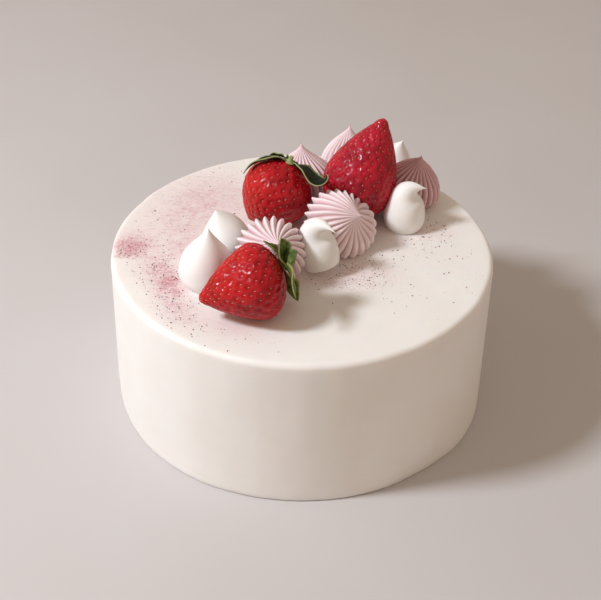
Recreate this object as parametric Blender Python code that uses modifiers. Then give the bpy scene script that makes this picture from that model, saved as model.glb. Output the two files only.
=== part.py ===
"""A round cream-covered cake, topped with piped kisses and whole strawberries.

The origin is on the floor under the middle of the cake, +Z is up, and the side that is
looked at first faces -Y. Sizes are written in millimetres and degrees.
"""
import math
from collections import namedtuple

import bmesh
import bpy
from mathutils import Matrix, Vector

MM = 0.001
CLEARANCE = 0.3 * MM

# The cake
CAKE_HEIGHT = 78.0 * MM
CAKE_TOP_RADIUS = 90.0 * MM
CAKE_FOOT_RADIUS = 90.2 * MM
RIM_ROUNDING = 2.6 * MM
FOOT_ROUNDING = 1.2 * MM
CAKE_STEPS = 96
ARC_STEPS = 3

# Piped kisses: a foot that draws in a little, a widest ring and a drawn-out peak
FOOT_SHARE = 0.86
WIDEST_AT = 0.17
LOWEST_RING_AT = 0.08
RIDGES = 24
VALLEY_DEPTH = 0.17
FOOT_FILL = 0.8
FOOT_TUCK = 0.1
PINK_RINGS = 9
WHITE_RINGS = 11
WHITE_SIDES = 20
SPINE_STEPS = 60

# Strawberries: a round shoulder, then a taper to a blunt tip
TAPER_FULLNESS = 0.8
TIP_BLUNTNESS = 0.66
BERRY_SIDES = 28
SHOULDER_RINGS = 5
TAPER_RINGS = 9

# How far clear of its neighbour's skin a soft piece is pressed back
PRESS_GAP = 0.35
COPY_FOOT_SHARE = 0.6

# Sepals: thin leaves from a small hub on the berry's shoulder
SEPAL_THICKNESS = 0.7 * MM
SEPAL_STEPS = 8
HUB_RADIUS = 2.6
HUB_LIFT = 0.8
SIDE_LIFT = 0.95
STEM_SHARE = 0.45
LEAF_CUPPING = 0.2
LEAF_RIPPLE = 0.14
RIPPLE_TURN = 1.3
ROLL_PACE = 1.4
LEAF_ROOT_AT = 0.25
LEAF_ROUNDNESS = 0.8
ROOT_HALF_ANGLE = 16.0

# x and y are where the foot stands, before the piece is let down on the cake. lean is the
# tilt from upright, toward is its compass direction (0 is +X, 90 is +Y). From bend_from of
# its height the kiss curls over by curl towards curl_toward. fullness below 1 gives a
# plumper flank and thinning draws the peak out. spin turns the star's ridges at the foot, and
# swirl is how far they turn back from there to the peak.
KISS_FIELDS = "x y radius length lean toward curl curl_toward bend_from fullness thinning spin swirl"
Kiss = namedtuple("Kiss", KISS_FIELDS)
PINK_KISSES = {
    "pink_kiss_front": Kiss(-15.0, -20.3, 16.4, 27.5, 48, -79, 6, 45, 0.25, 1.4, 0.0, 0, -18),
    "pink_kiss_middle": Kiss(16.6, 5.8, 18.0, 20.0, 35, -58, 46, -22, 0.25, 1.37, 0.0, 5, -28),
    "pink_kiss_back_left": Kiss(-0.7, 52.0, 16.6, 24.9, 7, 107, 1, 90, 0.25, 0.9, 0.9, 0, 12),
    "pink_kiss_back": Kiss(23.6, 68.2, 14.6, 26.6, 9, 138, 16, 20, 0.25, 0.8, 0.9, 8, 10),
    "pink_kiss_right": Kiss(52.0, 44.0, 14.8, 26.2, 12, 8, 16, -90, 0.25, 0.66, 1.1, 3, -6),
}
WHITE_KISSES = {
    "white_kiss_front": Kiss(-43.2, -28.7, 12.7, 28.5, 11, -78, 16, 81, 0.25, 0.89, 0.32, 0, 0),
    "white_kiss_left": Kiss(-34.5, -7.2, 11.9, 24.5, 9, 166, 17, -134, 0.25, 0.79, 0.26, 0, 0),
    "white_kiss_middle": Kiss(9.6, -18.0, 9.3, 35.0, 21, 148, 126, -44, 0.23, 1.12, 0.84, 0, 0),
    "white_kiss_right": Kiss(49.2, 21.4, 10.0, 29.6, 2, 167, 98, -14, 0.42, 0.56, 1.0, 0, 0),
    "white_kiss_back": Kiss(44.9, 65.0, 9.1, 23.4, 10, 35, 25, -70, 0.25, 0.46, 1.0, 0, 0),
}

# x and y are where the middle of the shoulder is, and the berry points from there to its
# tip. The shoulder is rounded over its share of the length.
Berry = namedtuple("Berry", "x y radius length lean toward shoulder taper")
BERRIES = {
    "strawberry_left": Berry(-2.0, 29.6, 17.2, 34.7, 129, -153, 0.43, 2.1),
    "strawberry_back": Berry(20.8, 26.8, 17.9, 52.2, 23, 34, 0.38, 1.35),
    "strawberry_front": Berry(-7.6, -49.7, 17.4, 38.8, 103, -166.5, 0.32, 1.35),
}

# The hub sits off the middle of the shoulder by offset towards around, and carries a stub
# of stem.
Calyx = namedtuple("Calyx", "berry around offset stem sepals")

# root is where on the hub's edge a sepal starts and around the direction that it grows in,
# both about the berry's axis. rise is how far it starts to lift off the shoulder, bend how
# it goes on (minus hugs the berry, plus curls away), hook the extra turn of its end and
# sway its side bend. roll turns the blade about its own length, so that one edge stands up.
Sepal = namedtuple("Sepal", "root around length width rise bend hook sway roll")
CALYXES = {
    "calyx_left": Calyx(
        "strawberry_left", 80, 8.5, 2.2,
        (
            Sepal(-30, -19, 24.6, 9.5, 31, -98, 241, 0, 58),
            Sepal(95, 127, 22.8, 7.0, -25, -68, -10, 0, 0),
            Sepal(158, 176, 10.0, 5.0, -20, -60, 10, 0, 0),
            Sepal(215, 226, 13.0, 5.5, -10, -60, 30, 0, 0),
            Sepal(270, 280, 12.0, 5.0, -5, -60, 30, 0, 0),
        ),
    ),
    "calyx_front": Calyx(
        "strawberry_front", 140, 3.5, 1.2,
        (
            Sepal(0, 20, 22.8, 7.6, 21, -61, 47, -44, 0),
            Sepal(45, 62, 11.5, 10.0, 9, 60, 9, -2, 0),
            Sepal(85, 77, 13.8, 9.5, 29, -45, 20, 10, -60),
            Sepal(128, 90, 14.1, 6.6, 11, -84, 57, 2, 0),
            Sepal(195, 201, 8.6, 4.0, -8, -30, 18, 52, 0),
            Sepal(258, 249, 19.4, 9.0, 4, 0, 12, 46, -65),
        ),
    ),
}

# Which soft piece is pressed flat by which firmer neighbour
PRESSED_BY = (
    ("pink_kiss_middle", "strawberry_back"),
    ("pink_kiss_right", "strawberry_back"),
    ("pink_kiss_front", "strawberry_front"),
    ("pink_kiss_back_left", "strawberry_left"),
    ("pink_kiss_back", "pink_kiss_back_left"),
    ("white_kiss_middle", "pink_kiss_middle"),
    ("white_kiss_middle", "pink_kiss_front"),
    ("white_kiss_back", "pink_kiss_right"),
    ("white_kiss_back", "pink_kiss_back"),
    ("white_kiss_front", "pink_kiss_front"),
    ("white_kiss_left", "white_kiss_front"),
    ("white_kiss_right", "pink_kiss_right"),
    ("white_kiss_right", "strawberry_back"),
)

CREAM = (0.90, 0.86, 0.80)
MERINGUE = (0.91, 0.88, 0.82)
PINK = (0.80, 0.50, 0.53)
BERRY_RED = (0.56, 0.012, 0.012)
LEAF_GREEN = (0.07, 0.12, 0.025)


def clear_scene():
    """Remove what is in the scene."""
    for thing in list(bpy.data.objects):
        bpy.data.objects.remove(thing, do_unlink=True)


def make_collection(name):
    """A collection linked to the scene."""
    group = bpy.data.collections.new(name)
    bpy.context.scene.collection.children.link(group)
    return group


def make_material(name, colour, roughness):
    """A Principled material of one colour."""
    material = bpy.data.materials.new(name)
    material.use_nodes = True
    shader = material.node_tree.nodes["Principled BSDF"]
    shader.inputs["Base Color"].default_value = (*colour, 1.0)
    shader.inputs["Roughness"].default_value = roughness
    shader.inputs["Metallic"].default_value = 0.0
    material.diffuse_color = (*colour, 1.0)
    return material


def add_object(name, mesh, group, material=None):
    """An object for a mesh, with its one material."""
    thing = bpy.data.objects.new(name, mesh)
    group.objects.link(thing)
    if material:
        mesh.materials.append(material)
    return thing


def arc(centre, radius, start, end):
    """Points of a rounding in the profile, from one angle to another."""
    points = []
    for step in range(ARC_STEPS + 1):
        angle = math.radians(start + (end - start) * step / ARC_STEPS)
        points.append((centre[0] + radius * math.cos(angle), centre[1] + radius * math.sin(angle)))
    return points


def make_cake(group, material):
    """The cream-covered cake, turned from its half profile."""
    rim = (CAKE_TOP_RADIUS - RIM_ROUNDING, CAKE_HEIGHT - RIM_ROUNDING)
    foot = (CAKE_FOOT_RADIUS - FOOT_ROUNDING, FOOT_ROUNDING)
    profile = [(0.0, CAKE_HEIGHT), *arc(rim, RIM_ROUNDING, 90.0, 0.0)]
    profile += [*arc(foot, FOOT_ROUNDING, 0.0, -90.0), (0.0, 0.0)]
    bm = bmesh.new()
    corners = [bm.verts.new((x, 0.0, z)) for x, z in profile]
    for upper, lower in zip(corners, corners[1:]):
        bm.edges.new((upper, lower))
    mesh = bpy.data.meshes.new("cake_body")
    bm.to_mesh(mesh)
    bm.free()
    cake = add_object("cake_body", mesh, group, material)
    turn = cake.modifiers.new("turn", "SCREW")
    turn.axis = "Z"
    turn.steps = CAKE_STEPS
    turn.render_steps = CAKE_STEPS
    turn.use_merge_vertices = True
    turn.merge_threshold = 0.00005
    turn.use_smooth_shade = True
    return cake


def direction(lean, toward):
    """The unit vector tilted from upright by lean, towards a compass direction."""
    tilt = math.radians(lean)
    compass = math.radians(toward)
    flat = math.sin(tilt)
    return Vector((flat * math.cos(compass), flat * math.sin(compass), math.cos(tilt)))


def cross_axes(axis):
    """Two unit vectors square to the axis and to each other."""
    across = Vector((0.0, 0.0, 1.0)).cross(axis)
    if across.length < 1e-6:
        across = Vector((1.0, 0.0, 0.0))
    across.normalize()
    return across, axis.cross(across)


def spine(length, start, curl=0.0, curl_toward=0.0, bend_from=0.0):
    """A function that gives the middle and the turn of a curled spine at a share of it."""
    compass = math.radians(curl_toward)
    hinge = start.cross(Vector((math.cos(compass), math.sin(compass), 0.0)))
    hinge.normalize()
    steps = SPINE_STEPS
    points = [Vector((0.0, 0.0, 0.0))]
    turns = []
    for step in range(steps + 1):
        share = max((step / steps - bend_from) / (1.0 - bend_from), 0.0)
        turns.append(math.radians(curl) * share * share * (3.0 - 2.0 * share))
    for step in range(steps):
        turn = Matrix.Rotation((turns[step] + turns[step + 1]) / 2.0, 3, hinge)
        points.append(points[-1] + turn @ start * (length / steps))

    def at(share):
        place = min(max(share, 0.0), 1.0) * steps
        low = min(int(place), steps - 1)
        part = place - low
        middle = points[low].lerp(points[low + 1], part)
        angle = turns[low] + (turns[low + 1] - turns[low]) * part
        turn = Matrix.Rotation(angle, 3, hinge)
        beyond = (share - min(max(share, 0.0), 1.0)) * length
        return middle + turn @ start * beyond, turn

    return at


def loft(outline, levels, start, at, share_of):
    """A closed skin: an outline carried up a spine, level by level, to a point."""
    bm = bmesh.new()
    across, away = cross_axes(start)
    ring = None
    for share, size, swirl in levels:
        middle, turn = at(share)
        places = []
        for angle, reach in outline:
            out = share_of(reach, share) * size
            bearing = angle + swirl
            places.append(middle + turn @ (across * math.cos(bearing) + away * math.sin(bearing)) * out)
        if ring is None:
            ring = [bm.verts.new(place) for place in places]
            edges = [bm.edges.new((a, b)) for a, b in zip(ring, ring[1:] + ring[:1])]
            bmesh.ops.contextual_create(bm, geom=edges)
            continue
        grown = bmesh.ops.extrude_edge_only(bm, edges=edges)["geom"]
        new_edges = [item for item in grown if isinstance(item, bmesh.types.BMEdge)]
        sides = [item for item in grown if isinstance(item, bmesh.types.BMFace)]
        old = set(ring)
        follow = {}
        for face in sides:
            for edge in face.edges:
                ends = [vert for vert in edge.verts if vert in old]
                if len(ends) == 1:
                    follow[ends[0]] = edge.other_vert(ends[0])
        ring = [follow[vert] for vert in ring]
        for vert, place in zip(ring, places):
            vert.co = place
        edges = [edge for edge in new_edges if edge.verts[0] in ring and edge.verts[1] in ring]
    bmesh.ops.pointmerge(bm, verts=ring, merge_co=at(levels[-1][0])[0])
    bmesh.ops.recalc_face_normals(bm, faces=bm.faces)
    return bm


def finish_mesh(name, bm):
    """The bmesh as a smooth shaded mesh."""
    mesh = bpy.data.meshes.new(name)
    bm.to_mesh(mesh)
    bm.free()
    mesh.shade_smooth()
    return mesh


def kiss_size(share, kiss):
    """A kiss's radius as a share of its largest, at a share of its height."""
    if share < WIDEST_AT:
        return FOOT_SHARE + (1.0 - FOOT_SHARE) * math.sin(math.pi / 2.0 * max(share, 0.0) / WIDEST_AT)
    part = (share - WIDEST_AT) / (1.0 - WIDEST_AT)
    return max(math.cos(math.pi / 2.0 * part), 0.0) ** (kiss.fullness + kiss.thinning * part)


def berry_size(share, berry):
    """A berry's radius as a share of its largest, from the shoulder at 0 to the tip at 1."""
    if share < berry.shoulder:
        return math.sqrt(max(1.0 - ((berry.shoulder - share) / berry.shoulder) ** 2, 0.0))
    part = (share - berry.shoulder) / (1.0 - berry.shoulder)
    rest = max(1.0 - part, 0.0)
    tapered = max(1.0 - part ** berry.taper, 0.0) ** TAPER_FULLNESS
    return max(tapered, TIP_BLUNTNESS * math.sqrt(rest))


def star_outline():
    """Angles and reaches round a star nozzle's cut: sharp crests with valleys between them."""
    outline = []
    for ridge in range(RIDGES):
        for part, reach in ((0.0, 1.0), (0.5, 0.0)):
            outline.append((2.0 * math.pi * (ridge + part) / RIDGES, reach))
    return outline


def round_outline(sides):
    """Angles round a circle."""
    return [(2.0 * math.pi * side / sides, 1.0) for side in range(sides)]


def ridged(reach, share):
    """The star's reach: valleys fade out at the peak and are nearly filled at the foot."""
    at_foot = max(1.0 - max(share, 0.0) / WIDEST_AT, 0.0)
    depth = VALLEY_DEPTH * (1.0 - max(share, 0.0) ** 4) * (1.0 - FOOT_FILL * at_foot)
    return 1.0 - depth * (1.0 - reach) - FOOT_TUCK * reach * at_foot


def plain(reach, share):
    """A round section's reach."""
    return reach


def kiss_mesh(name, kiss, ridges, grow=0.0):
    """A piped kiss, standing on the origin. grow swells it evenly, without ridges."""
    start = direction(kiss.lean, kiss.toward)
    length = kiss.length * MM
    at = spine(length, start, kiss.curl, kiss.curl_toward, kiss.bend_from)
    rings = PINK_RINGS if ridges else WHITE_RINGS
    shares = [0.0, LOWEST_RING_AT]
    shares += [WIDEST_AT + (1.0 - WIDEST_AT) * step / (rings - 2) for step in range(rings - 2)]
    swell = grow * MM
    levels = []
    if grow:
        foot = kiss_size(0.0, kiss) * kiss.radius * MM
        levels.append((-swell / length, foot + swell, 0.0))
    for share in shares:
        size = kiss_size(share, kiss) * kiss.radius * MM + swell
        swirl = math.radians(kiss.spin - kiss.swirl * share) if ridges else 0.0
        levels.append((share, size, swirl))
    levels.append((1.0 + swell / length, 0.0, levels[-1][2]))
    if ridges and not grow:
        return finish_mesh(name, loft(star_outline(), levels, start, at, ridged))
    return finish_mesh(name, loft(round_outline(WHITE_SIDES), levels, start, at, plain))


def berry_mesh(name, berry, grow=0.0):
    """A strawberry, with the middle of its shoulder at the origin."""
    start = direction(berry.lean, berry.toward)
    length = berry.length * MM
    at = spine(length, start)
    swell = grow * MM
    shares = []
    for step in range(1, SHOULDER_RINGS + 1):
        shares.append(berry.shoulder * (1.0 - math.cos(math.pi / 2.0 * step / SHOULDER_RINGS)))
    for step in range(1, TAPER_RINGS):
        shares.append(berry.shoulder + (1.0 - berry.shoulder) * math.sin(math.pi / 2.0 * step / TAPER_RINGS))
    levels = [(share, berry_size(share, berry) * berry.radius * MM + swell, 0.0) for share in shares]
    if grow:
        levels.insert(0, (-swell / length, levels[0][1] * COPY_FOOT_SHARE, 0.0))
    levels.append((1.0 + swell / length, 0.0, 0.0))
    return finish_mesh(name, loft(round_outline(BERRY_SIDES), levels, start, at, plain))


def let_down(thing, x, y):
    """Put a piece at x and y, with its lowest point just clear of the cake's top."""
    lowest = min(vert.co.z for vert in thing.data.vertices)
    thing.location = (x * MM, y * MM, CAKE_HEIGHT + CLEARANCE - lowest)


def press(soft, firm, cutters):
    """Flatten a soft piece where a firm neighbour lies against it."""
    cutter = cutters.objects.get("press_" + firm)
    cut = soft.modifiers.new("pressed_by_" + firm, "BOOLEAN")
    cut.operation = "DIFFERENCE"
    cut.solver = "EXACT"
    cut.object = cutter


def shoulder_place(berry, bearing, offset, lift):
    """A place over the shoulder: offset sideways towards a bearing, lift clear of the skin."""
    axis = direction(berry.lean, berry.toward)
    across, away = cross_axes(axis)
    out = across * math.cos(bearing) + away * math.sin(bearing)
    depth = berry.shoulder * berry.length
    share = min(offset / (berry.radius + lift), 1.0)
    along = depth - (depth + lift) * math.sqrt(1.0 - share * share)
    return (out * offset + axis * along) * MM


def keep_off(place, berry, lift):
    """The place, moved out where it would be closer to the berry than lift."""
    axis = direction(berry.lean, berry.toward)
    along = place.dot(axis)
    beside = place - axis * along
    length = berry.length * MM
    radius = berry.radius * MM
    depth = berry.shoulder * length
    if along >= depth:
        limit = berry_size(min(along / length, 1.0), berry) * radius + lift
        return axis * along + beside.normalized() * max(beside.length, limit)
    centre = axis * depth
    reach = math.hypot(beside.length / (radius + lift), (depth - along) / (depth + lift))
    return centre + (place - centre) / min(reach, 1.0)


def extend_strip(bm, row, targets):
    """Draw a row of vertices on to new places, and give the new row."""
    edges = [bm.edges.get(pair) for pair in zip(row, row[1:])]
    grown = bmesh.ops.extrude_edge_only(bm, edges=edges)["geom"]
    old = set(row)
    follow = {}
    for face in grown:
        if isinstance(face, bmesh.types.BMFace):
            for edge in face.edges:
                ends = [vert for vert in edge.verts if vert in old]
                if len(ends) == 1:
                    follow[ends[0]] = edge.other_vert(ends[0])
    new_row = [follow[vert] for vert in row]
    for vert, target in zip(new_row, targets):
        vert.co = target
    return new_row


def grow_sepal(bm, row, berry, sepal):
    """Draw one sepal out from three neighbouring points of the hub's edge."""
    axis = direction(berry.lean, berry.toward)
    across, away = cross_axes(axis)
    step_length = sepal.length * MM / SEPAL_STEPS
    half_width = sepal.width / 2.0 * MM
    place = row[1].co.copy()
    for step in range(1, SEPAL_STEPS + 1):
        share = (step - 0.5) / SEPAL_STEPS
        tilt = math.radians(sepal.rise + sepal.bend * share + sepal.hook * share ** 4)
        bearing = math.radians(sepal.around + sepal.sway * share)
        out = across * math.cos(bearing) + away * math.sin(bearing)
        side = away * math.cos(bearing) - across * math.sin(bearing)
        along = out * math.cos(tilt) - axis * math.sin(tilt)
        roll = math.radians(sepal.roll) * min(share * ROLL_PACE, 1.0)
        side = Matrix.Rotation(roll, 3, along) @ side
        up = side.cross(along)
        place = keep_off(place + along * step_length, berry, HUB_LIFT * MM)
        grown = LEAF_ROOT_AT + (1.0 - LEAF_ROOT_AT) * step / SEPAL_STEPS
        half = half_width * max(math.sin(math.pi * grown), 0.0) ** LEAF_ROUNDNESS
        cup = LEAF_CUPPING * half
        ripple = LEAF_RIPPLE * half * math.sin(step * RIPPLE_TURN)
        left = keep_off(place - side * half + up * (cup + ripple), berry, SIDE_LIFT * MM)
        right = keep_off(place + side * half + up * (cup - ripple), berry, SIDE_LIFT * MM)
        if step < SEPAL_STEPS:
            row = extend_strip(bm, row, (left, place, right))
            continue
        row = extend_strip(bm, row, (place, place, place))
    bmesh.ops.pointmerge(bm, verts=row, merge_co=place)


def make_calyx(name, calyx, place, group, material):
    """The green star of sepals on a berry's shoulder, one thin wavy solid."""
    berry = BERRIES[calyx.berry]
    around = math.radians(calyx.around)
    middle = shoulder_place(berry, around, calyx.offset, HUB_LIFT)
    outward = middle - direction(berry.lean, berry.toward) * berry.shoulder * berry.length * MM
    outward.normalize()
    aside = cross_axes(direction(berry.lean, berry.toward))[0]
    aside = (aside - outward * aside.dot(outward)).normalized()
    upward = aside.cross(outward)
    bm = bmesh.new()
    ring = []
    for sepal in calyx.sepals:
        for aslant in (-ROOT_HALF_ANGLE, 0.0, ROOT_HALF_ANGLE):
            bearing = math.radians(sepal.root + aslant)
            spot = middle + (aside * math.cos(bearing) + upward * math.sin(bearing)) * HUB_RADIUS * MM
            ring.append(bm.verts.new(keep_off(spot, berry, HUB_LIFT * MM)))
    hub = bmesh.ops.contextual_create(bm, geom=ring)["faces"][0]
    for index, sepal in enumerate(calyx.sepals):
        grow_sepal(bm, ring[3 * index : 3 * index + 3], berry, sepal)
    bmesh.ops.recalc_face_normals(bm, faces=bm.faces)
    stem_root = HUB_RADIUS * MM * (1.0 - STEM_SHARE)
    bmesh.ops.inset_individual(bm, faces=[hub], thickness=stem_root)
    stem = bmesh.ops.extrude_discrete_faces(bm, faces=[hub])["faces"][0]
    bmesh.ops.translate(bm, verts=stem.verts, vec=outward * calyx.stem * MM)
    bmesh.ops.triangulate(bm, faces=bm.faces)
    thing = add_object(name, finish_mesh(name, bm), group, material)
    thing.location = place
    thick = thing.modifiers.new("thickness", "SOLIDIFY")
    thick.thickness = SEPAL_THICKNESS
    thick.offset = 0.0
    return thing


def build():
    """Build the whole cake."""
    clear_scene()
    parts = make_collection("berry_cream_cake")
    cutters = make_collection("cutters")
    cream = make_material("whipped_cream", CREAM, 0.6)
    white = make_material("white_piping", MERINGUE, 0.55)
    pink = make_material("pink_piping", PINK, 0.6)
    red = make_material("strawberry_skin", BERRY_RED, 0.3)
    green = make_material("strawberry_leaf", LEAF_GREEN, 0.55)
    make_cake(parts, cream)
    made = {}
    firm = {pressing for soft, pressing in PRESSED_BY}
    for name, berry in BERRIES.items():
        made[name] = add_object(name, berry_mesh(name, berry), parts, red)
        let_down(made[name], berry.x, berry.y)
        if name in firm:
            swollen = berry_mesh("press_" + name, berry, PRESS_GAP)
            add_object("press_" + name, swollen, cutters).location = made[name].location
    for kisses, ridges, material in ((PINK_KISSES, True, pink), (WHITE_KISSES, False, white)):
        for name, kiss in kisses.items():
            made[name] = add_object(name, kiss_mesh(name, kiss, ridges), parts, material)
            let_down(made[name], kiss.x, kiss.y)
            if name in firm:
                swollen = kiss_mesh("press_" + name, kiss, ridges, PRESS_GAP)
                add_object("press_" + name, swollen, cutters).location = made[name].location
    for soft, pressing in PRESSED_BY:
        press(made[soft], pressing, cutters)
    for name, calyx in CALYXES.items():
        make_calyx(name, calyx, made[calyx.berry].location, parts, green)
    for cutter in cutters.objects:
        cutter.hide_render = True
        cutter.display_type = "WIRE"


build()
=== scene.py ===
"""Looks of a round cream cake that is topped with piped kisses and whole strawberries.

The origin is on the floor under the middle of the cake, +Z is up and the side that is
looked at first faces -Y. The tables of sizes are in millimetres and degrees.
"""

import logging
import math
import random
from dataclasses import dataclass
from enum import Enum
from typing import Any, Callable, Optional, Sequence

import bpy
from mathutils import Matrix, Vector, noise
from mathutils.bvhtree import BVHTree
from mathutils.kdtree import KDTree


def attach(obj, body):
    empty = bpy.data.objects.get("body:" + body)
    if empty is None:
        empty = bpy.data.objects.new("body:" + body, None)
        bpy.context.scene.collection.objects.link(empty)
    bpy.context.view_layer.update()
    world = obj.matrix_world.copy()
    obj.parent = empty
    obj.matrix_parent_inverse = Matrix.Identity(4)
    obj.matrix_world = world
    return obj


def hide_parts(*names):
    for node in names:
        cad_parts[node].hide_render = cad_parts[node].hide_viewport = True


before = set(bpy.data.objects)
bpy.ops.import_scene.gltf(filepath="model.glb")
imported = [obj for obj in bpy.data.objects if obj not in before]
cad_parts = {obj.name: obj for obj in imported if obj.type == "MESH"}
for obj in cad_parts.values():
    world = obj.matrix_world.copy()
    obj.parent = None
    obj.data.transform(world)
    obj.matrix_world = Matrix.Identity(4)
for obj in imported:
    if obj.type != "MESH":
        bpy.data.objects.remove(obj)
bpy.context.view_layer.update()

MM = 0.001
BODY = "root"
IMAGE_WIDTH = 601
WELD = 0.01 * MM
UP = Vector((0.0, 0.0, 1.0))
GOLDEN_ANGLE = math.pi * (3.0 - math.sqrt(5.0))
GOLDEN_SHARE = 0.618034
log = logging.getLogger("cream_cake")


# Small tools

def linear(code: str) -> tuple[float, float, float, float]:
    """An sRGB hex colour as linear RGBA.

    Args:
        code: Six hex digits.

    Returns:
        Red, green and blue as light, and an alpha of 1.
    """
    channels = [int(code[place : place + 2], 16) / 255.0 for place in (0, 2, 4)]
    made = [c / 12.92 if c <= 0.04045 else ((c + 0.055) / 1.055) ** 2.4 for c in channels]
    return made[0], made[1], made[2], 1.0


def smooth(low: float, high: float, value: float) -> float:
    """A soft step from 0 at low to 1 at high."""
    part = min(max((value - low) / (high - low), 0.0), 1.0)
    return part * part * (3.0 - 2.0 * part)


def direction(lean: float, toward: float) -> Vector:
    """The unit vector tilted from upright by lean, towards a compass direction.

    Args:
        lean: Degrees from upright.
        toward: Degrees round from +X.

    Returns:
        The direction.
    """
    flat = math.sin(math.radians(lean))
    compass = math.radians(toward)
    return Vector((flat * math.cos(compass), flat * math.sin(compass), math.cos(math.radians(lean))))


def cross_axes(axis: Vector) -> tuple[Vector, Vector]:
    """Two unit vectors square to the axis and to each other.

    Args:
        axis: A unit vector.

    Returns:
        The two, the first of them level.
    """
    across = UP.cross(axis)
    if across.length < 1e-6:
        across = Vector((1.0, 0.0, 0.0))
    across.normalize()
    return across, axis.cross(across)


def leave_edit_mode() -> None:
    """Back to object mode with nothing selected."""
    if bpy.context.object and bpy.context.object.mode != "OBJECT":
        bpy.ops.object.mode_set(mode="OBJECT")
    bpy.ops.object.select_all(action="DESELECT")


def pick(piece: bpy.types.Object) -> None:
    """Make the piece the only one that is selected, and the active one.

    Args:
        piece: The one to work on.
    """
    leave_edit_mode()
    piece.select_set(True)
    bpy.context.view_layer.objects.active = piece


def turned_cage(name: str, sides: int, rings: Sequence[tuple[float, float]]) -> bpy.types.Object:
    """A closed round form, drawn up ring by ring from a circle, as on a wheel.

    Args:
        name: What the piece is called.
        sides: How many sides a ring has.
        rings: Radius and height of each ring. The first and the last draw together to a point.

    Returns:
        The piece, upright on the origin.
    """
    leave_edit_mode()
    radius, height = rings[0]
    bpy.ops.mesh.primitive_circle_add(vertices=sides, radius=radius, location=(0.0, 0.0, 0.0))
    piece = bpy.context.object
    piece.name = name
    piece.data.name = name
    bpy.ops.object.mode_set(mode="EDIT")
    bpy.ops.transform.translate(value=(0.0, 0.0, height))
    for new_radius, new_height in rings[1:]:
        rise = (0.0, 0.0, new_height - height)
        bpy.ops.mesh.extrude_region_move(TRANSFORM_OT_translate={"value": rise})
        grow = new_radius / radius
        bpy.ops.transform.resize(value=(grow, grow, 1.0), center_override=(0.0, 0.0, new_height))
        radius, height = new_radius, new_height
    bpy.ops.mesh.merge(type="CENTER")
    bpy.ops.mesh.select_all(action="DESELECT")
    bpy.ops.mesh.select_non_manifold()
    bpy.ops.mesh.merge(type="CENTER")
    bpy.ops.mesh.select_all(action="SELECT")
    bpy.ops.mesh.normals_make_consistent(inside=False)
    leave_edit_mode()
    return piece


def refine(piece: bpy.types.Object, levels: int, kind: str = "SIMPLE") -> None:
    """Subdivide the whole piece.

    Args:
        piece: What is made finer.
        levels: How often each face is quartered.
        kind: SIMPLE keeps the form, CATMULL_CLARK rounds it.
    """
    pick(piece)
    finer = piece.modifiers.new("finer", "SUBSURF")
    finer.subdivision_type = kind
    finer.levels = levels
    finer.render_levels = levels
    bpy.ops.object.modifier_apply(modifier=finer.name)


def carve(piece: bpy.types.Object, place_of: Callable[[Vector], Vector]) -> None:
    """Move every point of a piece.

    Args:
        piece: What is shaped.
        place_of: Gives each point's new place.
    """
    for vert in piece.data.vertices:
        vert.co = place_of(vert.co.copy())
    piece.data.update()


def smooth_over(piece: bpy.types.Object) -> None:
    """Shade the piece smoothly."""
    pick(piece)
    bpy.ops.object.shade_smooth()


def weld(piece: bpy.types.Object) -> None:
    """Merge points that lie on each other and point all faces outwards.

    Args:
        piece: What is welded.
    """
    pick(piece)
    bpy.ops.object.mode_set(mode="EDIT")
    bpy.ops.mesh.select_all(action="SELECT")
    bpy.ops.mesh.remove_doubles(threshold=WELD)
    bpy.ops.mesh.normals_make_consistent(inside=False)
    leave_edit_mode()


def note(piece: bpy.types.Object, name: str, values: Sequence[float]) -> None:
    """Keep one number for each point of a piece, for its material to read."""
    layer = piece.data.attributes.new(name, "FLOAT", "POINT")
    layer.data.foreach_set("value", list(values))


def strew(name: str, master: bpy.types.Object, places: Sequence[Matrix]) -> bpy.types.Object:
    """Many copies of a small thing as one mesh, at true size.

    Args:
        name: What the piece is called.
        master: The thing that was modelled once. It is removed afterwards.
        places: Where each copy lies, how it is turned and how large it is.

    Returns:
        The piece that holds all copies.
    """
    corners = [vert.co.copy() for vert in master.data.vertices]
    sides = [tuple(face.vertices) for face in master.data.polygons]
    points, faces, shades = [], [], []
    for number, place in enumerate(places):
        start = len(points)
        points.extend(place @ corner for corner in corners)
        faces.extend(tuple(start + corner for corner in side) for side in sides)
        shades.extend([(number * GOLDEN_SHARE) % 1.0] * len(corners))
    mesh = bpy.data.meshes.new(name)
    mesh.from_pydata(points, [], faces)
    mesh.update()
    bpy.data.objects.remove(master, do_unlink=True)
    piece = bpy.data.objects.new(name, mesh)
    bpy.context.scene.collection.objects.link(piece)
    note(piece, "shade", shades)
    mesh.shade_smooth()
    return piece


def hand_over(piece: bpy.types.Object, material: bpy.types.Material, slot: str, *nodes: str) -> None:
    """Give a finished piece its material and its body, and hide the nodes it stands for.

    Args:
        piece: The finished piece.
        material: Its finish.
        slot: The record's name of that finish; not used.
        nodes: The solids that it replaces.
    """
    piece.data.materials.clear()
    piece.data.materials.append(material)
    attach(piece, BODY)
    if nodes:
        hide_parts(*nodes)
    log.info("%s: %d faces", piece.name, len(piece.data.polygons))


def surface_tree(piece: bpy.types.Object) -> BVHTree:
    """A search tree of the piece's faces, in the shared frame."""
    mesh = piece.data
    return BVHTree.FromPolygons([v.co for v in mesh.vertices], [p.vertices for p in mesh.polygons])


# Materials

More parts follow.
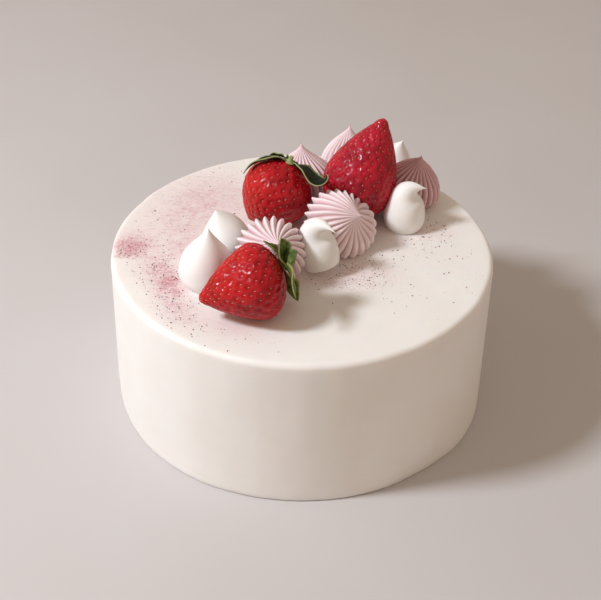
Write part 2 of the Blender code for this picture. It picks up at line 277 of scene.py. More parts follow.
class Recipe:
    """The node tree of one material while it is made."""

    def __init__(self, name: str) -> None:
        """Start a material with a bare Principled shader and places in the shared frame."""
        self.material = bpy.data.materials.new(name)
        self.material.use_nodes = True
        self.tree = self.material.node_tree
        self.where = self.add("TexCoord", "Object", {})

    def set_up(self, node: bpy.types.Node, settings: dict[Any, Any]) -> None:
        """Give a node its settings and links.

        Args:
            node: The node.
            settings: Values and other nodes' outputs, by property name, or by input name
                or number.
        """
        for key, value in settings.items():
            if isinstance(value, bpy.types.NodeSocket):
                self.tree.links.new(value, node.inputs[key])
            elif isinstance(key, str) and hasattr(node, key):
                setattr(node, key, value)
            else:
                node.inputs[key].default_value = value

    def add(self, kind: str, gives: Any, settings: dict[Any, Any]) -> bpy.types.NodeSocket:
        """Add a node with its settings and links.

        Args:
            kind: The node's type, without its ShaderNode prefix.
            gives: The name or number of the output that is wanted.
            settings: What set_up takes.

        Returns:
            That output.
        """
        node = self.tree.nodes.new("ShaderNode" + kind)
        self.set_up(node, settings)
        return node.outputs[gives]

    def tint(
        self, base: Any, colour: Any, by: Any, low: float = 0.0, high: float = 1.0, most: float = 1.0,
    ) -> bpy.types.NodeSocket:
        """Lay a colour over a base by a value.

        Args:
            base: The colour below, as hex or as an output.
            colour: The colour on top, the same.
            by: The value.
            low: Where the value is so, nothing of the colour shows.
            high: Where the value is so, the most of it shows.
            most: The largest share that shows.

        Returns:
            The tinted colour's output.
        """
        below, above = (linear(part) if isinstance(part, str) else part for part in (base, colour))
        share = self.add("MapRange", "Result", {
            "Value": by, "From Min": low, "From Max": high, "To Max": most,
        })
        return self.add("Mix", 2, {"data_type": "RGBA", 0: share, 6: below, 7: above})

    def finish(self, settings: dict[str, Any]) -> bpy.types.Material:
        """Set and link the shader's own sockets, and give the material."""
        self.set_up(self.tree.nodes["Principled BSDF"], settings)
        return self.material


@dataclass(frozen=True)
class SmoothedCream:
    """Mascarpone cream drawn smooth with a palette knife, and its dusting of berry powder."""

    colour: str = "F4F2EF"
    thin: str = "F1EEE9"
    powder: str = "D69CA6"
    strong_powder: str = "C0707A"
    fold: str = "B093A0"
    roughness: float = 0.52

    def dusting(self, made: Recipe, dust: Any) -> Any:
        """How much powder covers each place.

        Args:
            made: The material's recipe.
            dust: The amount that was strewn there.

        Returns:
            The output of the share that is covered.
        """
        # Berry powder falls in grains of a few tenths of a millimetre; drawn at 0.7 mm so
        # that they show, on drifts of about 5 mm
        grain = made.add("TexNoise", "Fac", {
            "Vector": made.where, "Scale": 1.0 / (0.7 * MM), "Roughness": 0.7,
        })
        drift = made.add("TexNoise", "Fac", {
            "Vector": made.where, "Scale": 1.0 / (5 * MM), "Detail": 3.0, "Roughness": 0.6,
        })
        drift = made.add("Math", 0, {"operation": "MULTIPLY_ADD", 0: drift, 1: 0.9, 2: 0.25})
        cover = made.add("Math", 0, {"operation": "MULTIPLY", 0: dust, 1: drift})
        speckle = made.add("MapRange", "Result", {
            "Value": grain, "From Min": 0.35, "From Max": 0.72, "To Min": 0.45, "To Max": 1.2,
        })
        return made.add("Math", 0, {"operation": "MULTIPLY", "use_clamp": True, 0: cover, 1: speckle})

    def material(self) -> bpy.types.Material:
        """Build the material: soft and barely glossy, with light that sinks in."""
        made = Recipe("mascarpone_cream_palette_knifed")
        # Cream is denser in some places: tints as large as a coin, hardly seen
        cloud = made.add("TexNoise", "Fac", {"Vector": made.where, "Scale": 1.0 / (22 * MM)})
        cream = made.tint(self.thin, self.colour, cloud, 0.3, 0.7)
        dust = made.add("Attribute", "Fac", {"attribute_name": "dust"})
        cover = self.dusting(made, dust)
        cream = made.tint(cream, self.powder, cover)
        cream = made.tint(cream, self.strong_powder, cover, 0.42, 1.0, 0.928)
        # The knife leaves short folds, 5 mm long and 1.5 mm wide, coloured a darker mauve where there is
        # dusting
        drawn = made.add("Mapping", "Vector", {
            "Vector": made.where, "Rotation": (0.0, 0.0, 0.12), "Scale": (1.0, 3.2, 1.0),
        })
        folds = made.add("TexNoise", "Fac", {"Vector": drawn, "Scale": 1.0 / (4.6 * MM)})
        folds = made.add("MapRange", "Result", {"Value": folds, "From Min": 0.56, "From Max": 0.66})
        folds = made.add("Math", 0, {"operation": "MULTIPLY", "use_clamp": True, 0: folds, 1: dust})
        cream = made.tint(cream, self.fold, folds, most=0.46)
        # Air bubbles that the knife closed are about 0.5 mm; drawn at 1.6 mm so that they show
        relief = made.add("TexNoise", "Fac", {
            "Vector": made.where, "Scale": 1.0 / (1.6 * MM), "Detail": 3.0, "Roughness": 0.6,
        })
        relief = made.add("Math", 0, {"operation": "MULTIPLY_ADD", 0: folds, 1: -0.8, 2: relief})
        return made.finish({
            "Base Color": cream, "Roughness": self.roughness, "IOR": 1.45, "Specular IOR Level": 0.4,
            "Subsurface Weight": 0.5, "Subsurface Radius": (1.0, 0.82, 0.68), "Subsurface Scale": 3.5 * MM,
            "Normal": made.add("Bump", "Normal", {"Height": relief, "Distance": 0.07 * MM, "Strength": 0.65}),
        })


@dataclass(frozen=True)
class PipedCream:
    """Stiff cream from a piping bag: satin, with a fine grain of air, lit through at its edges."""

    name: str
    colour: str
    thin: str
    # valley is painted shade for the hollows, edge a painted highlight for the crests
    valley: str
    edge: str
    roughness: float = 0.5
    glow: float = 0.3
    reach: float = 1.2
    spread: tuple[float, float, float] = (1.0, 0.7, 0.55)

    def material(self) -> bpy.types.Material:
        """Build the material: satin, with painted shade in its valleys and painted highlights on crests that
        light shines through.
        """
        made = Recipe(self.name)
        cloud = made.add("TexNoise", "Fac", {"Vector": made.where, "Scale": 1.0 / (7 * MM), "Detail": 3.0})
        cream = made.tint(self.thin, self.colour, cloud, 0.32, 0.68)
        # Painted shade makes the cream deeper in the valleys, where light bounces from wall to wall, and a
        # painted highlight makes it paler on the thin crests, which light shines through
        crest = made.add("Attribute", "Fac", {"attribute_name": "crest"})
        cream = made.tint(cream, self.valley, crest, 0.5, 0.0, 0.82)
        cream = made.tint(cream, self.edge, crest, 0.62, 0.95, 0.7)
        # Air bubbles are about 0.2 mm; drawn at 0.9 mm so that they show
        bubbles = made.add("TexNoise", "Fac", {
            "Vector": made.where, "Scale": 1.0 / (0.9 * MM), "Detail": 3.0, "Roughness": 0.6,
        })
        return made.finish({
            "Base Color": cream, "Roughness": self.roughness, "IOR": 1.45, "Specular IOR Level": 0.4,
            "Subsurface Weight": self.glow, "Subsurface Radius": self.spread,
            "Subsurface Scale": self.reach * MM,
            "Normal": made.add("Bump", "Normal", {"Height": bubbles, "Distance": 0.08 * MM, "Strength": 0.5}),
        })


@dataclass(frozen=True)
class BerrySkin:
    """The skin of a ripe strawberry: thin, wet-looking and clear, over red flesh."""

    name: str = "ripe_strawberry_skin"
    ripe: str = "B60F20"
    deep: str = "850714"
    pale: str = "D24440"
    orange: str = "C0281C"
    roughness: float = 0.3

    def material(self) -> bpy.types.Material:
        """Build the material: mottled red flesh under a clear film that glints."""
        made = Recipe(self.name)
        blush = made.add("TexNoise", "Fac", {
            "Vector": made.where, "Scale": 1.0 / (9 * MM), "Detail": 3.0, "Roughness": 0.55,
        })
        flesh = made.tint(self.deep, self.ripe, blush, 0.3, 0.62)
        # Painted highlight: the skin is painted a little paler on the net of ridges between the pits
        pit = made.add("Attribute", "Fac", {"attribute_name": "pit"})
        flesh = made.tint(flesh, self.pale, pit, 1.0, 0.0, 0.12)
        # Painted light: the side that faces the lamp is painted more orange than crimson
        flesh = made.tint(flesh, self.orange, made.add("Attribute", "Fac", {"attribute_name": "unripe"}))
        # Pores are about 0.3 mm; drawn at 0.8 mm so that they break up the gloss
        pores = made.add("TexNoise", "Fac", {"Vector": made.where, "Scale": 1.0 / (0.8 * MM)})
        return made.finish({
            "Base Color": flesh, "Roughness": self.roughness, "IOR": 1.3, "Specular IOR Level": 0.12,
            "Subsurface Weight": 0.12, "Subsurface Radius": (1.0, 0.2, 0.12), "Subsurface Scale": 1.5 * MM,
            "Coat Weight": 0.28, "Coat IOR": 1.6, "Coat Roughness": 0.03,
            "Normal": made.add("Bump", "Normal", {"Height": pores, "Distance": 0.1 * MM, "Strength": 0.5}),
        })


@dataclass(frozen=True)
class SeedHusk:
    """The dry husk of a strawberry seed: straw yellow, some greener, some browner."""

    ripe: str = "D07654"
    brown: str = "A04636"
    green: str = "E4A888"

    def material(self) -> bpy.types.Material:
        """Build the material: streaked and shiny, each seed in its own shade."""
        made = Recipe("strawberry_seed_husk")
        shade = made.add("Attribute", "Fac", {"attribute_name": "shade"})
        husk = made.tint(self.brown, self.ripe, shade, 0.0, 0.35)
        husk = made.tint(husk, self.green, shade, 0.35, 0.9)
        streak = made.add("TexNoise", "Fac", {"Vector": made.where, "Scale": 1.0 / (0.4 * MM)})
        return made.finish({
            "Base Color": made.tint(husk, self.brown, streak, most=0.3),
            "Roughness": 0.28, "IOR": 1.5, "Coat Weight": 0.8,
            "Normal": made.add("Bump", "Normal", {"Height": streak, "Distance": 0.04 * MM, "Strength": 0.5}),
        })


@dataclass(frozen=True)
class Leaf:
    """A strawberry sepal: dull green, veined lengthways, paler at its foot, with a painted highlight along
    its edge.
    """

    name: str = "strawberry_sepal_leaf"
    blade: str = "687C3A"
    dark: str = "404E20"
    vein: str = "8E9A56"
    edge: str = "A8A468"

    VEINS = 7

    def material(self) -> bpy.types.Material:
        """Build the material: blotched green with veins along the sepal's own map."""
        made = Recipe(self.name)
        flat = made.add("TexCoord", "UV", {})
        along = made.add("SeparateXYZ", "X", {"Vector": flat})
        aside = made.add("SeparateXYZ", "Y", {"Vector": flat})
        blotch = made.add("TexNoise", "Fac", {"Vector": made.where, "Scale": 1.0 / (2.5 * MM), "Detail": 3.0})
        green = made.tint(self.dark, self.blade, blotch, 0.35, 0.62)
        green = made.tint(green, self.vein, along, 0.25, 0.0, 0.35)
        wave = made.add("Math", 0, {"operation": "MULTIPLY", 0: aside, 1: 2.0 * math.pi * self.VEINS})
        wave = made.add("Math", 0, {"operation": "SINE", 0: wave})
        green = made.tint(green, self.vein, wave, 0.55, 1.0, 0.225)
        # Painted highlight: a paler band along the sepal's edge
        off = made.add("Math", 0, {"operation": "SUBTRACT", 0: aside, 1: 0.5})
        off = made.add("Math", 0, {"operation": "ABSOLUTE", 0: off})
        green = made.tint(green, self.edge, off, 0.4, 0.48, 0.7)
        relief = made.add("Math", 0, {"operation": "MULTIPLY_ADD", 0: blotch, 1: 2.0, 2: wave})
        return made.finish({
            "Base Color": green, "Roughness": 0.6, "IOR": 1.42, "Specular IOR Level": 0.3,
            "Subsurface Weight": 0.1, "Subsurface Radius": (0.5, 1.0, 0.2), "Subsurface Scale": 0.6 * MM,
            "Normal": made.add("Bump", "Normal", {"Height": relief, "Distance": 0.1 * MM, "Strength": 0.5}),
        })


@dataclass(frozen=True)
class DriedBerry:
    """Freeze-dried berry, crushed: matt and crisp, from dark crumbs to pale pink powder."""

    name: str
    dark: str
    light: str

    def material(self) -> bpy.types.Material:
        """Build the material: gritty and matt, each crumb in its own shade."""
        made = Recipe(self.name)
        body = made.tint(self.dark, self.light, made.add("Attribute", "Fac", {"attribute_name": "shade"}))
        grit = made.add("TexNoise", "Fac", {"Vector": made.where, "Scale": 1.0 / (0.25 * MM)})
        return made.finish({
            "Base Color": made.tint(body, self.dark, grit, most=0.35), "Roughness": 0.8, "IOR": 1.45,
            "Normal": made.add("Bump", "Normal", {"Height": grit, "Distance": 0.05 * MM, "Strength": 0.6}),
        })


@dataclass(frozen=True)
class PaleFloor:
    """A plain painted floor, pale and matt."""

    colour: str = "CECACA"
    warm: str = "CBC6C5"

    def material(self) -> bpy.types.Material:
        """Build the material: hardly mottled, so that only the cake draws the eye."""
        made = Recipe("pale_painted_floor")
        mottle = made.add("TexNoise", "Fac", {"Vector": made.where, "Scale": 1.0 / (120 * MM)})
        tone = made.tint(self.warm, self.colour, mottle, 0.3, 0.7)
        return made.finish({"Base Color": tone, "Roughness": 0.6, "IOR": 1.45})


# Dusting maps

@dataclass(frozen=True)
class Patch:
    """One soft-edged patch of dusting on the cake's top."""

    x: float
    y: float
    reach_x: float
    reach_y: float
    weight: float
    turn: float = 0.0
    cut_below: Optional[float] = None

    CUT_SOFTNESS = 0.6

    def at(self, x: float, y: float) -> float:
        """How strong the patch is at a place.

        Args:
            x: Its place, in millimetres.
            y: The same.

        Returns:
            Its strength there.
        """
        edge = 1.0
        if self.cut_below is not None:
            edge = smooth(self.cut_below - self.CUT_SOFTNESS, self.cut_below + self.CUT_SOFTNESS, y)
        angle = math.radians(self.turn)
        ahead = (x - self.x) * math.cos(angle) + (y - self.y) * math.sin(angle)
        aside = (y - self.y) * math.cos(angle) - (x - self.x) * math.sin(angle)
        far = math.hypot(ahead / self.reach_x, aside / self.reach_y)
        return self.weight * edge * math.exp(-far * far)


POWDER = (
    Patch(-82.0, -3.0, 9.0, 11.0, 1.1, 0.0, -12.6),
    Patch(-66.0, -20.0, 9.0, 12.0, 0.62, 20.0),
    Patch(-60.0, -37.0, 8.0, 14.0, 0.75, 20.0),
    Patch(-53.0, -54.0, 8.0, 11.0, 0.5, 30.0),
    Patch(-62.0, 16.0, 22.0, 34.0, 0.5, -15.0),
    Patch(-44.0, 46.0, 28.0, 24.0, 0.55, 20.0),
    Patch(-57.0, -31.0, 6.0, 8.0, 0.4, 15.0),
    Patch(-54.0, -2.0, 9.0, 14.0, 0.45),
    Patch(-30.0, -64.0, 16.0, 7.0, 0.3, -10.0),
    Patch(10.0, -24.0, 18.0, 9.0, 0.5, -10.0),
    Patch(28.0, -18.0, 16.0, 10.0, 0.3, -30.0),
    Patch(60.0, 17.0, 14.0, 8.0, 0.32, 10.0),
    Patch(20.0, 20.0, 34.0, 34.0, 0.25),
)
CRUMBS = (
    Patch(-80.0, -4.0, 8.0, 9.0, 0.8, 0.0, -12.6),
    Patch(-62.0, -26.0, 10.0, 18.0, 1.3, 20.0),
    Patch(-54.0, -50.0, 9.0, 16.0, 1.0, 25.0),
    Patch(-62.0, 5.0, 24.0, 40.0, 0.07),
    Patch(-34.0, -66.0, 20.0, 10.0, 0.2, -12.0),
    Patch(14.0, -24.0, 14.0, 9.0, 1.2, -10.0),
    Patch(34.0, -28.0, 8.0, 8.0, 0.7),
    Patch(50.0, -36.0, 12.0, 7.0, 0.12, -20.0),
    Patch(30.0, -12.0, 16.0, 9.0, 0.8, 20.0),
    Patch(60.0, 14.0, 12.0, 14.0, 0.8, 30.0),
    Patch(76.0, -18.0, 14.0, 22.0, 0.1),
    Patch(0.0, 60.0, 50.0, 24.0, 0.12),
)


def density(patches: Sequence[Patch], x: float, y: float) -> float:
    """How strong all patches together are at a place that is given in millimetres."""
    return sum(patch.at(x, y) for patch in patches)


# The cake

@dataclass(frozen=True)
class FootBulge:
    """A place where the cream at the foot stands out or draws in."""

    bearing: float
    spread: float
    out: float


@dataclass
class CreamCake:
    """The cake's body under its coat of cream, smoothed by hand."""

    height: float = 78.0
    top_radius: float = 90.0
    foot_radius: float = 90.2
    rim_rounding: float = 2.6
    foot_rounding: float = 1.2
    sides: int = 288
    side_rings: int = 34
    top_rings: int = 45
    bulges: tuple[FootBulge, ...] = (
        FootBulge(-30.0, 9.0, 0.8), FootBulge(-52.0, 9.0, -0.7), FootBulge(-118.0, 14.0, 0.5),
        FootBulge(70.0, 20.0, 0.7), FootBulge(140.0, 16.0, -0.6), FootBulge(-160.0, 12.0, -0.5),
    )

    FOOT_ZONE = 16.0
    RAGGED_ZONE = 3.0
    LIP_ZONE = 9.0
    STROKE_OUT = (0.22, 0.05)
    LIP_OUT = 0.3
    LIP_UP = 0.18
    RAGGED_OUT = 0.12
    TOP_UP = (0.14, 0.035)

    def rings(self) -> list[tuple[float, float]]:
        """The turned form, from under the foot over the side to the middle of the top.

        Returns:
            Radius and height of each ring, in metres.
        """
        made = [(0.01 * self.foot_radius, 0.0)]
        made += [(self.foot_radius * share, 0.0) for share in (0.25, 0.5, 0.75, 0.92)]
        for step in range(5):
            angle = math.radians(-90.0 + 90.0 * step / 4)
            made.append((
                self.foot_radius - self.foot_rounding * (1.0 - math.cos(angle)),
                self.foot_rounding * (1.0 + math.sin(angle)),
            ))
        low, high = self.foot_rounding, self.height - self.rim_rounding
        for step in range(1, self.side_rings):
            share = step / self.side_rings
            radius = self.foot_radius + (self.top_radius - self.foot_radius) * share
            made.append((radius, low + (high - low) * share))
        for step in range(8):
            angle = math.radians(90.0 * step / 7)
            made.append((
                self.top_radius - self.rim_rounding * (1.0 - math.cos(angle)),
                high + self.rim_rounding * math.sin(angle),
            ))
        inner = self.top_radius - self.rim_rounding
        for step in range(1, self.top_rings):
            made.append((inner * (1.0 - step / self.top_rings), self.height))
        return [(radius * MM, height * MM) for radius, height in made]

    def smoothed(self, point: Vector) -> Vector:
        """Where the knife left a point of the turned form.

        Args:
            point: The point on the perfectly round form, in metres.

        Returns:
            The point on the cream as it was smoothed.
        """
        x, y, z = point / MM
        radius = math.hypot(x, y)
        if radius < 0.5:
            return point
        bearing = math.atan2(y, x)
        around = Vector((math.cos(bearing), math.sin(bearing), 0.0))
        beside = smooth(self.top_radius - 9.0, self.top_radius - 0.5, radius)
        # Upright strokes of the knife on the side, 12 and 4 mm wide
        broad = noise.noise(around * (self.top_radius / 12.0) + UP * (z / 70.0))
        narrow = noise.noise(around * (self.top_radius / 4.0) + UP * (z / 30.0 + 7.0))
        out = (self.STROKE_OUT[0] * broad + self.STROKE_OUT[1] * narrow) * beside
        # The lip where the side and the top strokes meet
        lip = noise.noise(around * 3.1 + UP * 3.0) + 0.4 * noise.noise(around * 9.0 + UP * 5.0)
        out += self.LIP_OUT * lip * smooth(self.height - self.LIP_ZONE, self.height, z) * beside
        near_foot = 1.0 - smooth(0.0, self.FOOT_ZONE, z)
        for bulge in self.bulges:
            apart = (math.degrees(bearing) - bulge.bearing + 180.0) % 360.0 - 180.0
            out += bulge.out * math.exp(-((apart / bulge.spread) ** 2)) * near_foot * beside
        ragged = noise.noise(around * 30.0 + UP * 9.0)
        out += self.RAGGED_OUT * ragged * (1.0 - smooth(0.0, self.RAGGED_ZONE, z)) * beside
        up = 0.0
        if z > self.height - self.rim_rounding:
            flat = Vector((x / 34.0, y / 34.0, 1.0))
            fine = Vector((x / 9.0, y / 14.0, 4.0))
            up = self.TOP_UP[0] * noise.noise(flat) + self.TOP_UP[1] * noise.noise(fine)
            up += self.LIP_UP * lip * smooth(self.top_radius - 8.0, self.top_radius, radius)
        return Vector((x + around.x * out, y + around.y * out, z + up)) * MM

    def build(self) -> bpy.types.Object:
        """Turn the cake, smooth it by hand and note where powder lies.

        Returns:
            The piece.
        """
        cake = turned_cage("cream_coated_cake", self.sides, self.rings())
        carve(cake, self.smoothed)
        smooth_over(cake)
        values = []
        for vert in cake.data.vertices:
            x, y, z = vert.co / MM
            on_top = smooth(self.height - 1.6, self.height - 0.4, z)
            values.append(min(density(POWDER, x, y), 1.2) * on_top)
        note(cake, "dust", values)
        hand_over(cake, SmoothedCream().material(), "whipped_cream", "cake_body")
        return cake


# The spines

class Spine:
    """The middle line of a kiss: straight at first, and curled over from a share of it."""

    STEPS = 60

    def __init__(self, length: float, start: Vector, curl: float, toward: float, bend_from: float) -> None:
        """Lay the line out.

        Args:
            length: Its length in metres.
            start: The direction in which it sets out.
            curl: How far it turns over in all, in degrees.
            toward: The compass direction that it curls towards.
            bend_from: The share of its length from which it curls.
        """
        compass = math.radians(toward)
        hinge = start.cross(Vector((math.cos(compass), math.sin(compass), 0.0)))
        self.hinge = hinge.normalized() if hinge.length > 1e-9 else Vector((1.0, 0.0, 0.0))
        self.start = start
        self.length = length
        self.turns = []
        for step in range(self.STEPS + 1):
            share = max((step / self.STEPS - bend_from) / (1.0 - bend_from), 0.0)
            self.turns.append(math.radians(curl) * smooth(0.0, 1.0, share))
        self.points = [Vector((0.0, 0.0, 0.0))]
        for step in range(self.STEPS):
            turn = Matrix.Rotation((self.turns[step] + self.turns[step + 1]) / 2.0, 3, self.hinge)
            self.points.append(self.points[-1] + turn @ start * (length / self.STEPS))

    def at(self, share: float) -> tuple[Vector, Matrix]:
        """The middle at a share of the length, and how far the section there is turned.

        Args:
            share: The share, from the foot.

        Returns:
            The place and the turn.
        """
        place = min(max(share, 0.0), 1.0) * self.STEPS
        low = min(int(place), self.STEPS - 1)
        part = place - low
        middle = self.points[low].lerp(self.points[low + 1], part)
        angle = self.turns[low] + (self.turns[low + 1] - self.turns[low]) * part
        return middle, Matrix.Rotation(angle, 3, self.hinge)


# Piped kisses

class Nozzle(Enum):
    """The metal tip that a kiss was piped through."""

    STAR = "star"
    ROUND = "round"


@dataclass(frozen=True)
class PipedKiss:
    """A kiss of cream that was piped straight up and pulled off to a peak.

    x and y are where its foot stands. lean is its tilt from upright, toward the compass
    direction of that. From bend_from of its height it curls over by curl, towards
    curl_toward. fullness below 1 gives a plump flank, thinning draws the peak out. spin
    turns the ridges at the foot, swirl how far they turn back on the way to the peak.
    """

    name: str
    nozzle: Nozzle
    x: float
    y: float
    radius: float
    length: float
    lean: float
    toward: float
    curl: float
    curl_toward: float
    bend_from: float
    fullness: float
    thinning: float
    spin: float
    swirl: float

    FOOT_SHARE = 0.86
    WIDEST_AT = 0.17
    RIDGES = 24
    VALLEY_DEPTH = 0.17
    CREST_SHARPNESS = 1.2
    CREST_BLUNTNESS = 0.5
    FOOT_FILL = 0.8
    FOOT_TUCK = 0.1
    FOOT_SINK = 0.1
    PRESS_UP_TO = 0.92
    PEAK_CREST = 0.45
    UNEVENNESS = 0.03
    TORN = 0.014
    WOBBLE = ((7.0, 0.02), (2.6, 0.004))
    POINTS_PER_RIDGE = 4
    ROUND_SIDES = 30

    def size(self, share: float) -> float:
        """The radius at a share of the height.

        Args:
            share: That share.

        Returns:
            The radius as a share of the largest.
        """
        if share < self.WIDEST_AT:
            rise = math.sin(math.pi / 2.0 * max(share, 0.0) / self.WIDEST_AT)
            return self.FOOT_SHARE + (1.0 - self.FOOT_SHARE) * rise
        part = (share - self.WIDEST_AT) / (1.0 - self.WIDEST_AT)
        return max(math.cos(math.pi / 2.0 * part), 0.0) ** (self.fullness + self.thinning * part)

    def crest(self, bearing: float) -> float:
        """How near to the crest of a ridge a bearing is.

        Args:
            bearing: The bearing in the star nozzle's section, in radians.

        Returns:
            1 on the crest, 0 in the valley.
        """
        if self.nozzle is Nozzle.ROUND:
            return 1.0
        turn = bearing * self.RIDGES / (2.0 * math.pi)
        off = abs(turn - math.floor(turn + 0.5)) * 2.0
        blunt = self.CREST_BLUNTNESS
        beside = (math.hypot(off, blunt) - blunt) / (math.hypot(1.0, blunt) - blunt)
        return (1.0 - min(beside, 1.0)) ** self.CREST_SHARPNESS

    def ridged(self, bearing: float, share: float) -> float:
        """The star nozzle's section: thin crests and hollow valleys that fade at the peak.

        Args:
            bearing: The bearing in that section, in radians.
            share: The share of the height.

        Returns:
            What the plain radius is multiplied by.
        """
        ridge = math.floor(bearing * self.RIDGES / (2.0 * math.pi) + 0.5)
        own = noise.noise(Vector((ridge % self.RIDGES * 1.7, self.x, self.y)))
        crest = self.crest(bearing)
        drawn_in = 1.0 - smooth(0.0, self.WIDEST_AT, share)
        depth = self.VALLEY_DEPTH * (1.0 - max(share, 0.0) ** 4) * (1.0 - self.FOOT_FILL * drawn_in)
        torn = noise.noise(Vector((ridge * 3.1, share * 9.0, self.x))) * self.TORN * crest
        uneven = (self.UNEVENNESS * own * (1.0 - share) + torn) * (0.3 + 0.7 * crest)
        return 1.0 - depth * (1.0 - crest) - self.FOOT_TUCK * crest * drawn_in + uneven

    def rings(self) -> list[tuple[float, float]]:
        """The upright form, from the middle of the foot to the peak.

        Returns:
            Radius and height of each ring, in metres.
        """
        foot = self.FOOT_SHARE * self.radius
        made = [(foot * share, 0.0) for share in (0.04, 0.3, 0.6, 0.85, 1.0)]
        shares = [0.03, 0.08, 0.13]
        shares += [self.WIDEST_AT + (1.0 - self.WIDEST_AT) * step / 20 for step in range(20)]
        made += [(self.size(share) * self.radius, share * self.length) for share in shares]
        made.append((0.0005 * self.radius, self.length))
        return [(radius * MM, height * MM) for radius, height in made]

    def place(self, spine: Spine, across: Vector, away: Vector, point: Vector) -> Vector:
        """Where a point of the upright form lies on the piped one.

        Args:
            spine: The kiss's middle line.
            across: A direction square to its start.
            away: The other one.
            point: The point, in metres.

        Returns:
            Its place, with the middle of the foot at the origin.
        """
        share = min(max(point.z / (self.length * MM), 0.0), 1.0)
        bearing = math.atan2(point.y, point.x)
        middle, turn = spine.at(share)
        reach = self.size(share) * self.radius * MM
        if share < 1e-5:
            reach = math.hypot(point.x, point.y)
        swirl = 0.0
        if self.nozzle is Nozzle.STAR:
            reach *= self.ridged(bearing, share)
            swirl = math.radians(self.spin - self.swirl * share)
        out = across * math.cos(bearing + swirl) + away * math.sin(bearing + swirl)
        found = middle + turn @ out * reach
        (broad, broad_out), (fine, fine_out) = self.WOBBLE
        sway = broad_out * noise.noise(found / (broad * MM) + Vector((self.x, self.y, 0.0)))
        sway += fine_out * noise.noise(found / (fine * MM) + Vector((self.y, self.x, 3.0)))
        return found + turn @ out * (self.radius * MM * sway * min(share * 8.0, 1.0) * (1.0 - share))

    def build(self, firm: Sequence[BVHTree], material: bpy.types.Material, slot: str) -> bpy.types.Object:
        """Pipe the kiss, stand it on the cake and press it against what it leans on.

        Args:
            firm: Search trees of the neighbours that press it flat.
            material: Its finish.
            slot: The record's name of that finish.

        Returns:
            The piece.
        """
        sides = self.RIDGES * self.POINTS_PER_RIDGE if self.nozzle is Nozzle.STAR else self.ROUND_SIDES
        kiss = turned_cage(self.name + "_cream", sides, self.rings())
        refine(kiss, 2)
        start = direction(self.lean, self.toward)
        across, away = cross_axes(start)
        spine = Spine(self.length * MM, start, self.curl, self.curl_toward, self.bend_from)
        heights = [min(max(vert.co.z / (self.length * MM), 0.0), 1.0) for vert in kiss.data.vertices]
        note(kiss, "crest", [
            self.crest(math.atan2(vert.co.y, vert.co.x)) * (1.0 - height ** 3) + self.PEAK_CREST * height ** 3
            for vert, height in zip(kiss.data.vertices, heights)
        ])
        carve(kiss, lambda point: self.place(spine, across, away, point))
        lowest = min(vert.co.z for vert in kiss.data.vertices)
        base = Vector((self.x, self.y, CreamCake.height - self.FOOT_SINK)) * MM - UP * lowest
        carve(kiss, lambda point: point + base)
        for vert, height in zip(kiss.data.vertices, heights):
            middle = spine.at(min(height, self.PRESS_UP_TO))[0] + base
            for tree in firm:
                vert.co = pressed_back(vert.co.copy(), middle, tree)
        kiss.data.update()
        weld(kiss)
        smooth_over(kiss)
        hand_over(kiss, material, slot, self.name)
        return kiss


PRESS_GAP = 0.3 * MM
PRESS_REACH = 12.0 * MM
PRESS_LEAST = 0.25
MOST_CROSSINGS = 40
SLANT = Vector((0.31, 0.22, 0.92)).normalized()


def inside(point: Vector, firm: BVHTree) -> bool:
    """Whether a point lies in a closed form: a line out of it crosses the skin an odd time.

    Args:
        point: The point.
        firm: Search tree of the form.

    Returns:
        True inside.
    """
    crossings, start = 0, point
    while crossings < MOST_CROSSINGS:
        spot = firm.ray_cast(start, SLANT)[0]
        if spot is None:
            break
        crossings += 1
        start = spot + SLANT * (0.001 * MM)
    return crossings % 2 == 1


def pressed_back(point: Vector, middle: Vector, firm: BVHTree) -> Vector:
    """A kiss's point, drawn in where a firm neighbour is in its way.

    Args:
        point: The point.
        middle: The kiss's own middle at that height.
        firm: Search tree of the neighbour.

    Returns:
        The point's place on the pressed kiss.
    """
    if firm.find_nearest(point, PRESS_REACH)[0] is None:
        return point
    way = point - middle
    reach = way.length
    if reach < 1e-9 or not inside(point + way * (PRESS_GAP / reach), firm):
        return point
    distance = firm.ray_cast(middle, way)[3]
    if distance is None:
        return point
    return middle + way * min(max((distance - PRESS_GAP) / reach, PRESS_LEAST), 1.0)


